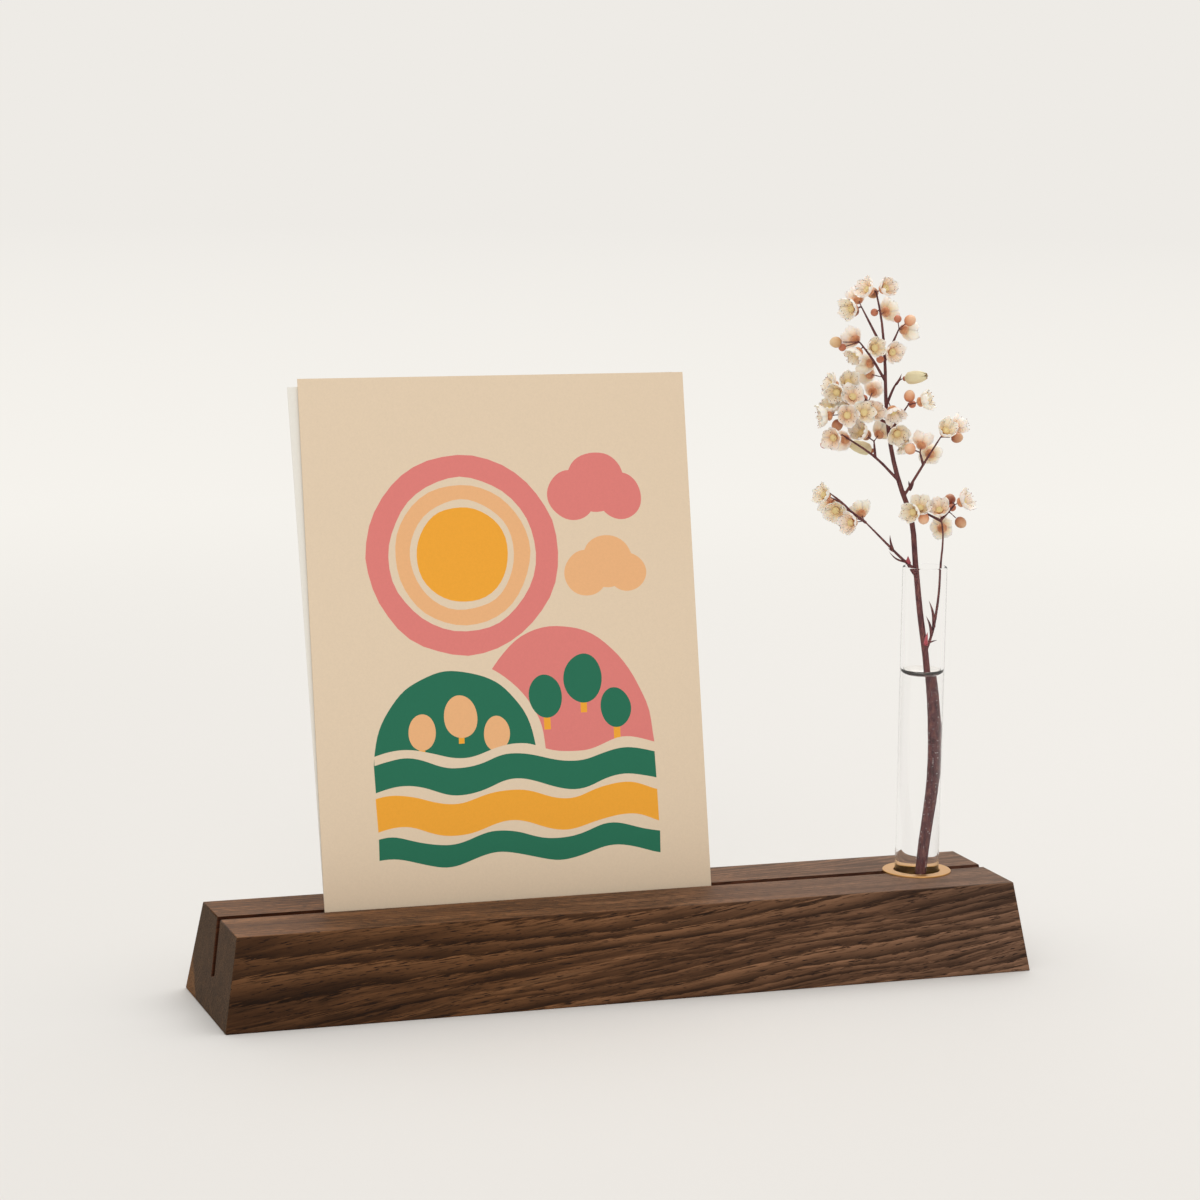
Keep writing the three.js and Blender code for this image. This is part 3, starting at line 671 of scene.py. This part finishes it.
bark_tone = add(tree, "ValToRGB", {"Fac": blotches}, stops=[
    (0.28, "#391b1f"), (0.48, "#5e3336"), (0.62, "#764641"), (0.78, "#95675a")])
tree.links.new(bark_tone, surface.inputs["Base Color"])
relief = add(tree, "Bump", {"Height": blotches, "Strength": 0.6, "Distance": BLOTCH_HEIGHT * MM})
tree.links.new(relief, surface.inputs["Normal"])
stem.data.materials.clear()
stem.data.materials.append(bark)

# The side shoots
# Thorny twiglets and three red leaf buds on the wood around the tube's mouth. Each is a thin curved
# cone that grows out of the bark: its root, tip, thickness and bend in millimetres, and its finish.
SPRIG_TURN = math.radians(19.1)
SHOOT_SIDES = 8
SHOOT_STEPS = 6
BARK, RED = range(2)
TWIGLETS = (
    ((2.5, 0, -17), (0.9, -0.5, -9.6), 1, -0.5, BARK),
    ((2.1, 0, -19.2), (0.4, -0.8, -13.6), 0.9, -0.4, BARK),
    ((2, 0, -21.3), (5, 0.3, -20.2), 0.6, 0.2, BARK),
    ((-2.7, 0, -2.6), (-5.9, 0, 1.3), 1.7, 0, BARK),
    ((-3.4, 0, 1), (-3.8, -0.4, 3.2), 1.1, 0.1, RED),
    ((-4.1, 0, 1.3), (-3.7, -0.5, 2.7), 0.8, 0.1, RED),
    ((-4.6, 0.4, 1.2), (-9.2, 0.8, 4), 0.6, 0.7, BARK),
    ((-7.7, 0, 4), (-9.6, -0.4, 5), 0.6, 0.2, BARK),
    ((-8.4, 0, 4.6), (-9.2, 0.3, 8.4), 0.7, 0.2, BARK),
    ((-2.9, 0, 19.7), (-3.5, -0.5, 21.8), 0.7, 0.1, BARK),
    ((-2.4, 0, 18.6), (-1.2, -0.3, 21.8), 0.9, -0.2, BARK),
    ((-20, 0, 13), (-27, -0.5, 19.3), 1, -0.3, BARK),
    ((-8.9, 0, 48.4), (-7.4, 0.3, 51.4), 0.7, -0.2, BARK),
)
FORK_BUD = ((0.75, -0.2, -21.3), (1.15, -0.6, -17.7), 1.15, 0.1, RED)
across_sprig = Vector((math.cos(SPRIG_TURN), -math.sin(SPRIG_TURN), 0))
behind_sprig = Vector((math.sin(SPRIG_TURN), math.cos(SPRIG_TURN), 0))
upwards = Vector((0, 0, 1))
mouth = Vector((socket.x, socket.y, tube_high.z))
wood = BVHTree.FromPolygons(
    [v.co for v in stem.data.vertices], [p.vertices[:] for p in stem.data.polygons])


def sprig_point(sideways, back, up):
    """Place on the sprig, in millimetres from the middle of the tube's mouth."""
    return mouth + MM * (sideways * across_sprig + back * behind_sprig + up * upwards)


def shoot(shape, start, end, thick, bend, finish):
    """A tapering shoot, bent sideways on its way."""
    side = (end - start).cross(behind_sprig).normalized()
    turns = [math.tau * i / SHOOT_SIDES for i in range(SHOOT_SIDES)]
    round_about = [math.cos(a) * side + math.sin(a) * behind_sprig for a in turns]
    rings = []
    for step in range(SHOOT_STEPS):
        along = step / SHOOT_STEPS
        middle = start.lerp(end, along) + side * bend * MM * math.sin(math.pi * along)
        radius = thick * MM * (1 - along ** 2) / 2
        rings.append([shape.verts.new(middle + radius * out) for out in round_about])
    foot = shape.faces.new(rings[0])
    rings.append([shape.verts.new(end)])
    for face in [foot] + join_rings(shape, rings):
        face.material_index = finish
        face.smooth = True


shape = bmesh.new()
for root, tip, *build in TWIGLETS:
    start = wood.find_nearest(sprig_point(*root))[0]
    shoot(shape, start, start + sprig_point(*tip) - sprig_point(*root), *build)
root, tip, *build = FORK_BUD
shoot(shape, sprig_point(*root), sprig_point(*tip), *build)
side_shoots = piece_from("side_shoots", shape)
red_shoot = material("red_leaf_bud", {"Base Color": linear("#a8444e"), "Roughness": 0.5})[0]
side_shoots.data.materials.append(bark)
side_shoots.data.materials.append(red_shoot)
seat(side_shoots, "sprig", "stem_bark")

# The bubbles
# Tiny beads of air that cling to the bark under water, sunk into it a little. They are drawn solid and
# nearly white: a painted highlight for the light they catch.
BUBBLES = 220
SMALLEST_BEAD, LARGEST_BEAD = 0.04 * MM, 0.11 * MM
BEAD_PROUD = 0.8
BEADS_BELOW_TOP = 3 * MM
bead_chance = random.Random(5)
beads = bmesh.new()
for _ in range(BUBBLES):
    angle = bead_chance.uniform(0, math.tau)
    height = bead_chance.uniform(bowl, water_high.z - BEADS_BELOW_TOP)
    beside = (socket.x + bore_radius * math.cos(angle), socket.y + bore_radius * math.sin(angle), height)
    spot, out, _, _ = wood.find_nearest(Vector(beside))
    size = bead_chance.uniform(SMALLEST_BEAD, LARGEST_BEAD)
    bmesh.ops.create_icosphere(
        beads, subdivisions=1, radius=size, matrix=Matrix.Translation(spot + out * size * BEAD_PROUD))
bubbles = piece_from("air_beads", beads)
smooth(bubbles.data)
# Nearly white and glossy: the beads' painted highlight.
bubbles.data.materials.append(material("air_bead", {"Base Color": linear("#fff6f2"), "Roughness": 0.1})[0])
seat(bubbles, "sprig", "water")

# The blossoms
# Small papery cups of five frilled petals, cream or rosy, on a round tan calyx, with dark-tipped stamens
# in a warm throat. They grow every way round the twigs, and two are still closed, as long green bracts.
BLOSSOM_KINDS = 7
BLOSSOM_DEPTH = 3.3
CLOSED_BLOSSOMS = ("blossom_20", "blossom_32")
LYING_BRACT = "blossom_20"
LYING_RISE = 0.3
BRACT_LENGTH = 6.6
CUP_REACH, RIPE_REACH = (0.45, 1.85, 2.5, 2.75, 2.95), (0, 0.3, 0.5, 0.65, 0.8)
CUP_RISE, RIPE_FALL = (0.1, 0.5, 1.45, 2.6, 3.4), (0, 0, 0.3, 0.7, 1.2)
BRACT_REACH = (0.35, 1.6, 1.8, 1.5, 0.8)
BRACT_RISE = (0.1, 1.2, 2.9, 4.9, BRACT_LENGTH)
PETALS = 5
PETAL_ROWS = 8
PETAL_COLUMNS = 9
PETAL_LENGTH = 4.4
PETAL_THICKNESS = 0.1
PETAL_LIFTS = (-0.35, 0.3)
PETAL_LEAN = 0.22
PETAL_SHORTER = 0.22
PETAL_BOW = 0.1
PETAL_TWIST = 0.14
CORNER_DROP = 0.25
RIM_ROUNDING, RIM_SQUARENESS = 0.95, 6
FOOT_WIDTH, FOOT_LENGTH = 0.6, 0.25
FRILL = 0.3
FRILL_WAVES = 5
STAMENS = 10
STAMEN_SPREAD = 0.3
STAMEN_FOOT = 0.3
STAMEN_REACH = (1.3, 2.5)
STAMEN_HEIGHT = (2.2, 3.2)
BRACT_STAMEN_REACH, BRACT_STAMEN_HEIGHT = 0.6, 0.98
FILAMENT_RADIUS = 0.055
ANTHER_SIZE = (0.11, 0.16)
CALYX_HEIGHT, CALYX_SIZE = -0.25, (1.4, 0.95)
BRACT_CALYX_HEIGHT, BRACT_CALYX_SIZE = 0.1, (0.7, 0.5)
THROAT_HEIGHT, THROAT_SIZE = 0.85, (1.05, 0.5)
INSIDE, FILAMENT, ANTHER, CALYX, THROAT, OUTSIDE = range(6)


def standing(node):
    """Foot and facing of a flower, from the two points of its solid where most facets meet."""
    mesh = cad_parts[node].data
    spots = [tuple(round(x, 6) for x in v.co) for v in mesh.vertices]
    meets = Counter(spots[v] for p in mesh.polygons for v in p.vertices)
    ends = [Vector(spot) for spot, _ in meets.most_common(2)]
    ends.sort(key=lambda end: wood.find_nearest(end)[3])
    return ends[0], (ends[1] - ends[0]).normalized()


def between(stations, share):
    """Value at a share of the way along evenly spaced stations, eased between them."""
    spot = share * (len(stations) - 1)
    step = min(int(spot), len(stations) - 2)
    near = spot - step
    near = near * near * (3 - 2 * near)
    return stations[step] * (1 - near) + stations[step + 1] * near


def blob(shape, centre, across, along, axis, finish, detail=1):
    """A small round grain."""
    made = bmesh.ops.create_icosphere(shape, subdivisions=detail, radius=1)
    stretch = Matrix.Diagonal((across, across, along, 1))
    turn = axis.to_track_quat("Z", "Y").to_matrix().to_4x4()
    place = Matrix.Translation(centre)
    bmesh.ops.transform(shape, verts=made["verts"], matrix=place @ turn @ stretch)
    for face in {f for v in made["verts"] for f in v.link_faces}:
        face.material_index = finish
        face.smooth = True


def petal(shape, turn, reach, rise, half_width, loose, chance):
    """One petal, thin and closed, bowed across and frilled along its rim. It leans its own way."""
    lift = loose * chance.uniform(*PETAL_LIFTS)
    lean = loose * chance.uniform(-PETAL_LEAN, PETAL_LEAN)
    length = 1 - loose * chance.uniform(0, PETAL_SHORTER)
    frill_from = chance.uniform(0, math.tau)
    sides = []
    for inner in (0, 1):
        rows = []
        for row in range(PETAL_ROWS):
            along = row / (PETAL_ROWS - 1)
            radius, height = between(reach, along * length), between(rise, along * length)
            height += inner * PETAL_THICKNESS * (1 - along)
            width = half_width * math.sqrt(1 - (RIM_ROUNDING * along) ** RIM_SQUARENESS)
            width *= FOOT_WIDTH + (1 - FOOT_WIDTH) * min(1, along / FOOT_LENGTH)
            points = []
            for column in range(PETAL_COLUMNS):
                across = 2 * column / (PETAL_COLUMNS - 1) - 1
                angle = turn + across * width + lean * along
                bow = radius * (1 - PETAL_BOW * across ** 2) - inner * PETAL_THICKNESS
                bow += (PETAL_TWIST * across + lift) * along
                frill = loose * FRILL * along ** 3 * math.sin(FRILL_WAVES * across + frill_from)
                top = height + frill - CORNER_DROP * along ** 2 * across ** 2
                points.append(shape.verts.new((bow * math.cos(angle), bow * math.sin(angle), top)))
            rows.append(points)
        sides.append(rows)

    outer, inner = sides
    last, end = PETAL_ROWS - 1, PETAL_COLUMNS - 1
    front, back = [], []
    for row in range(last):
        for rows, side in ((outer, back), (inner, front)):
            near, far = rows[row], rows[row + 1]
            side += [(near[i], near[i + 1], far[i + 1], far[i]) for i in range(end)]
        for i in (0, end):
            front.append((outer[row][i], outer[row + 1][i], inner[row + 1][i], inner[row][i]))
    for row in (0, last):
        under, over = outer[row], inner[row]
        front += [(under[i], under[i + 1], over[i + 1], over[i]) for i in range(end)]
    for quads, finish in ((front, INSIDE), (back, OUTSIDE)):
        for quad in quads:
            face = shape.faces.new(quad)
            face.smooth = True
            face.material_index = finish


def blossom_mesh(seed, closed):
    """One kind of blossom, standing on its foot along Z, in millimetres until the end."""
    chance = random.Random(seed)
    shape = bmesh.new()
    ripe = seed / BLOSSOM_KINDS
    reach = [start + ripe * more for start, more in zip(CUP_REACH, RIPE_REACH)]
    rise = [start - ripe * less for start, less in zip(CUP_RISE, RIPE_FALL)]
    half_width, loose = 0.76, 1
    if closed:
        reach, rise = BRACT_REACH, BRACT_RISE
        half_width, loose = 1, 0.2
    for i in range(PETALS):
        petal(shape, math.tau * i / PETALS, reach, rise, half_width, loose, chance)
    if closed:
        blob(shape, upwards * BRACT_CALYX_HEIGHT, *BRACT_CALYX_SIZE, upwards, CALYX, 2)
    else:
        blob(shape, upwards * CALYX_HEIGHT, *CALYX_SIZE, upwards, CALYX, 2)
        blob(shape, upwards * THROAT_HEIGHT, *THROAT_SIZE, upwards, THROAT, 2)
    for i in range(STAMENS):
        angle = math.tau * (i + chance.uniform(-STAMEN_SPREAD, STAMEN_SPREAD)) / STAMENS
        out = BRACT_STAMEN_REACH if closed else chance.uniform(*STAMEN_REACH)
        tall = BRACT_LENGTH * BRACT_STAMEN_HEIGHT if closed else chance.uniform(*STAMEN_HEIGHT)
        away = Vector((math.cos(angle), math.sin(angle), 0))
        tip = away * out + upwards * tall
        foot = (away + upwards) * STAMEN_FOOT
        stalk = tip - foot
        blob(shape, (tip + foot) / 2, FILAMENT_RADIUS, stalk.length / 2, stalk, FILAMENT)
        blob(shape, tip, *ANTHER_SIZE, stalk, ANTHER)
    return mesh_from(f"blossom_kind_{seed}", shape, MM)


# Thin petals: pale inside and out, with a tan foot. Every other kind of blossom is rosier. The calyx is
# of the same tissue, tan and thicker.
FRECKLE = 1 / 0.9
FRECKLE_STRENGTH = 0.35


def petal_side(name, stops):
    """Papery petal, which lets some light through. Its colours run from the foot to the rim."""
    skin, tree, surface = material(name, {
        "Roughness": 0.6, "Specular IOR Level": 0.25, "Sheen Weight": 0.7, "Subsurface Weight": 0.35,
        "Subsurface Radius": (0.8, 0.55, 0.4), "Subsurface Scale": 0.5 * MM})
    metres = add(tree, "TexCoord", {}, "Object")
    from_foot = add(tree, "VectorMath", {
        0: metres, "Scale": 1 / (PETAL_LENGTH * MM)}, operation="SCALE")
    from_foot = add(tree, "VectorMath", {0: from_foot}, "Value", operation="LENGTH")
    freckles = add(tree, "TexNoise", {"Vector": metres, "Scale": 1 / (FRECKLE * MM), "Detail": 2})
    from_foot = add(tree, "Math", {
        0: freckles, 1: FRECKLE_STRENGTH, 2: from_foot}, operation="MULTIPLY_ADD")
    tone = add(tree, "ValToRGB", {"Fac": from_foot}, stops=stops)
    tree.links.new(tone, surface.inputs["Base Color"])
    return skin


cream_petals = (
    petal_side("cream_petal", [(0.32, "#dba76f"), (0.52, "#f6dcb6"), (0.72, "#feeed8"), (0.95, "#fff8ec")]),
    petal_side("cream_back", [(0.3, "#d2a06c"), (0.46, "#efd0a6"), (0.66, "#fbe9cf"), (0.9, "#fff7ea")]))
rosy_petals = (
    petal_side("rosy_petal", [(0.32, "#da956c"), (0.52, "#f9d4b6"), (0.72, "#ffe9d8"), (0.95, "#fff6ed")]),
    petal_side("rosy_back", [(0.3, "#cf8c64"), (0.46, "#f2c6a2"), (0.66, "#fde2ce"), (0.9, "#fff3e9")]))
filament = material("pale_filament", {"Base Color": linear("#ead0a8"), "Roughness": 0.7})[0]
anther = material("dark_anther", {"Base Color": linear("#9a6448"), "Roughness": 0.7})[0]
calyx = petal_side("rosy_calyx", [(0.34, "#a3593c"), (0.44, "#c98559"), (0.54, "#dda87c"), (0.66, "#e6bd95")])
throat = material("yellow_throat", {"Base Color": linear("#e8d298"), "Roughness": 0.7})[0]
bract = material("green_bract", {"Base Color": linear("#e2d6ae"), "Roughness": 0.6})[0]
kinds = []
for seed in range(BLOSSOM_KINDS + 1):
    closed = seed == BLOSSOM_KINDS
    kinds.append(blossom_mesh(seed, closed))
    inside, outside = (bract, bract) if closed else (cream_petals, rosy_petals)[seed % 2]
    for skin in (inside, filament, anther, calyx, throat, outside):
        kinds[-1].materials.append(skin)


def stand_flower(name, mesh, foot, facing, roll):
    """Stands a flower on its foot, no higher than the solids reach."""
    flower = put_in_scene(name, mesh)
    turn = facing.to_track_quat("Z", "Y").to_matrix().to_4x4() @ Matrix.Rotation(roll, 4, "Z")
    top = max((turn @ Vector(corner)).z for corner in flower.bound_box)
    foot.z = min(foot.z, cad_box[1].z - top)
    flower.matrix_world = Matrix.Translation(foot) @ turn
    return flower


scatter = random.Random(11)
for node in sorted(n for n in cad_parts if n.startswith("blossom_")):
    foot, facing = standing(node)
    if node == LYING_BRACT:
        middle = foot + facing * BLOSSOM_DEPTH / 2 * MM
        facing = (upwards * LYING_RISE - across_sprig).normalized()
        foot = middle - facing * BRACT_LENGTH / 2 * MM
    kind = kinds[-1] if node in CLOSED_BLOSSOMS else kinds[scatter.randrange(BLOSSOM_KINDS)]
    name = node.replace("blossom", "flower")
    flower = stand_flower(name, kind, foot, facing, scatter.uniform(0, math.tau))
    seat(flower, "sprig", "petal", node)

# The late blossoms
# A few more blossoms where the twigs carry them thickest, past the number that the solids have. They
# face forwards, each on a short stalk of its own, given by its middle on the sprig.
LATE_BLOSSOMS = (
    (-1.8, -2.5, 16.4), (-14.6, -3, 41.4), (-26.6, -2.5, 42.6), (-20.4, -4, 45.6), (-25, -3, 46),
    (-22, -7, 40.6), (-24.4, -2.5, 14.6), (-8.2, -2.5, 35.2),
)
STALK_THICKNESS, STALK_BEND = 0.5, 0.1
stalks = bmesh.new()
for number, spot in enumerate(LATE_BLOSSOMS):
    middle = sprig_point(*spot)
    root = wood.find_nearest(middle)[0]
    facing = ((middle - root).normalized() - behind_sprig).normalized()
    foot = middle - facing * BLOSSOM_DEPTH / 2 * MM
    shoot(stalks, root, foot, STALK_THICKNESS, STALK_BEND, BARK)
    kind = kinds[scatter.randrange(BLOSSOM_KINDS)]
    flower = stand_flower(f"late_flower_{number}", kind, foot, facing, scatter.uniform(0, math.tau))
    seat(flower, "sprig", "petal")
late_stalks = piece_from("late_stalks", stalks)
late_stalks.data.materials.append(bark)
seat(late_stalks, "sprig", "stem_bark")

# The buds
# Flowers that haven't opened: round, with five seams, orange-brown with a darker foot. The outline
# gives shares of the bud's width and length.
BUD_DIAMETER = 3.0
BUD_LENGTH = 3.2
BUD_SIDES = 20
BUD_OUTLINE = (
    (0.25, 0.02), (0.4, 0.15), (0.48, 0.3), (0.5, 0.46), (0.46, 0.65), (0.36, 0.81), (0.2, 0.94),
)
SEAM_DEPTH = 0.07
SEAM_NARROWNESS = 3


def bud_mesh():
    """A bud standing on its foot along Z."""
    shape = bmesh.new()
    rings = [[shape.verts.new((0, 0, 0))]]
    for reach, height in BUD_OUTLINE:
        ring = []
        for step in range(BUD_SIDES):
            angle = math.tau * step / BUD_SIDES
            groove = (0.5 + 0.5 * math.cos(PETALS * angle)) ** SEAM_NARROWNESS
            radius = reach * BUD_DIAMETER * (1 - SEAM_DEPTH * groove * min(1, height * 2))
            spot = (radius * math.cos(angle), radius * math.sin(angle), height * BUD_LENGTH)
            ring.append(shape.verts.new(spot))
        rings.append(ring)
    rings.append([shape.verts.new((0, 0, BUD_LENGTH))])
    for face in join_rings(shape, rings):
        face.smooth = True
    return mesh_from("bud", shape, MM)


def bud_skin(name, *codes):
    """Smooth waxy skin, its colours from the foot to the tip."""
    skin, tree, surface = material(name, {"Roughness": 0.35, "Specular IOR Level": 0.5})
    metres = add(tree, "TexCoord", {}, "Object")
    height = add(tree, "SeparateXYZ", {0: metres}, "Z")
    height = add(tree, "Math", {0: height, 1: 1 / (BUD_LENGTH * MM)}, operation="MULTIPLY")
    tone = add(tree, "ValToRGB", {"Fac": height}, stops=zip((0, 0.3, 0.7, 1), codes))
    tree.links.new(tone, surface.inputs["Base Color"])
    return skin


# Bud skins, riper ones paler: brown, orange and tan, all with a reddish foot.
buds = []
for skin in (
        bud_skin("brown_bud", "#8a4733", "#b47653", "#ca936c", "#dab08a"),
        bud_skin("orange_bud", "#a04e36", "#d48a61", "#e6ac84", "#efc5a2"),
        bud_skin("tan_bud", "#955b3d", "#c89a69", "#dbb588", "#e7cba4")):
    buds.append(bud_mesh())
    buds[-1].materials.append(skin)
for node in sorted(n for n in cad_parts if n.startswith("bud_")):
    bud = buds[scatter.randrange(len(buds))]
    name = node.replace("bud", "closed_bud")
    piece = stand_flower(name, bud, *standing(node), scatter.uniform(0, math.tau))
    seat(piece, "sprig", "bud_skin", node)

# The youngest buds
# No more than swollen tips of the wood, already orange or pink: a skin over each of the sprig's own.
YOUNG_BUD_DIAMETER = 2.06
YOUNG_BUDS = (
    (-13.5, -2.3, 55), (-15, 1.7, 67), (7, 2.1, 15.5), (-27.5, 0.5, 32), (-19, 1.4, 46.5), (-17, 4.3, 44),
    (-4.5, 0.7, 43), (-23.5, -2.1, 58), (-9, -0.3, 65.5),
)
young_skin = material("young_bud", {"Base Color": linear("#c57a5c"), "Roughness": 0.45})[0]
shape = bmesh.new()
for spot in YOUNG_BUDS:
    bmesh.ops.create_icosphere(
        shape, subdivisions=3, radius=YOUNG_BUD_DIAMETER / 2 * MM,
        matrix=Matrix.Translation(sprig_point(*spot)))
young_buds = piece_from("young_buds", shape)
smooth(young_buds.data)
young_buds.data.materials.append(young_skin)
seat(young_buds, "sprig", "bud_skin")

# The stage
# A pale paper sweep: a floor that takes the shadow and fades into an even background. The room lights
# the object evenly, and two broad lamps shape it. Sizes are in metres.
BACKDROP = "#eeebe6"
ROOM_LIGHT = (0.72, 0.705, 0.68, 1)
SWEEP_RADIUS = 4
SWEEP_SIDES = 64
FADE_FROM, FADE_TO = 0.2, 1.0
shape = bmesh.new()
bmesh.ops.create_circle(shape, cap_ends=True, segments=SWEEP_SIDES, radius=SWEEP_RADIUS)
floor = piece_from("paper_sweep", shape)
sweep, tree, surface = material("pale_paper", {
    "Base Color": linear("#e0dedb"), "Roughness": 0.9, "Specular IOR Level": 0.1})
spot = add(tree, "NewGeometry", {}, "Position")
away = add(tree, "VectorMath", {0: spot}, "Value", operation="LENGTH")
fade = add(tree, "MapRange", {
    "Value": away, "From Min": FADE_FROM, "From Max": FADE_TO}, interpolation_type="SMOOTHSTEP")
depth = add(tree, "Math", {0: away, 1: SWEEP_RADIUS}, operation="DIVIDE")
glow = add(tree, "ValToRGB", {"Fac": depth}, stops=[(0.2, "#f6f3ed"), (1, BACKDROP)])
glow = add(tree, "Emission", {"Color": glow})
blended = add(tree, "MixShader", {0: fade, 1: surface.outputs[0], 2: glow})
tree.links.new(blended, tree.nodes["Material Output"].inputs[0])
floor.data.materials.append(sweep)

world = bpy.data.worlds.new("pale_room")
world.use_nodes = True
bpy.context.scene.world = world
tree = world.node_tree
ray = add(tree, "LightPath", {}).node.outputs
seen = add(tree, "Math", {0: ray["Is Camera Ray"], 1: ray["Is Glossy Ray"]}, operation="MAXIMUM")
seen = add(tree, "Math", {0: seen, 1: ray["Is Transmission Ray"]}, operation="MAXIMUM")
colour = add(tree, "Mix", {0: seen, 6: ROOM_LIGHT, 7: linear(BACKDROP)}, 2, data_type="RGBA")
tree.links.new(colour, tree.nodes["Background"].inputs["Color"])


def softbox(name, spot, aim, size, power):
    """A broad square lamp."""
    lamp = bpy.data.lights.new(name, "AREA")
    lamp.size = size
    lamp.energy = power
    made = put_in_scene(name, lamp)
    made.location = spot
    made.rotation_euler = (Vector(aim) - Vector(spot)).to_track_quat("-Z", "Y").to_euler()


softbox("top_light", spot=(0.3, 0.3, 1.2), aim=(0, 0, 0.05), size=1.0, power=7.5)
softbox("front_light", spot=(-0.65, -1.35, 0.9), aim=(0, 0, 0.08), size=1.2, power=4.85)

# The camera
# Set where the photo was taken from: a long lens, a little above the cards and to their left.
CAMERA_SPOT = (-0.2935865, -0.8311029, 0.2388781)
CAMERA_YAW, CAMERA_PITCH, CAMERA_ROLL = (math.radians(a) for a in (19.12547, 8.92071, 0.76340))
FOCAL_LENGTH = 103.8929
SENSOR_WIDTH = 36
NEAREST = 0.05
lens = bpy.data.cameras.new("camera")
lens.lens = FOCAL_LENGTH
lens.sensor_width = SENSOR_WIDTH
lens.clip_start = NEAREST
camera = put_in_scene("camera", lens)
ahead = Vector((
    math.sin(CAMERA_YAW) * math.cos(CAMERA_PITCH),
    math.cos(CAMERA_YAW) * math.cos(CAMERA_PITCH),
    -math.sin(CAMERA_PITCH)))
right = Vector((math.cos(CAMERA_YAW), -math.sin(CAMERA_YAW), 0))
above = right.cross(ahead)
across = math.cos(CAMERA_ROLL) * right + math.sin(CAMERA_ROLL) * above
upright = math.cos(CAMERA_ROLL) * above - math.sin(CAMERA_ROLL) * right
facing = Matrix((across, upright, -ahead)).transposed().to_4x4()
camera.matrix_world = Matrix.Translation(CAMERA_SPOT) @ facing
bpy.context.scene.camera = camera
bpy.context.scene.view_settings.view_transform = "Standard"
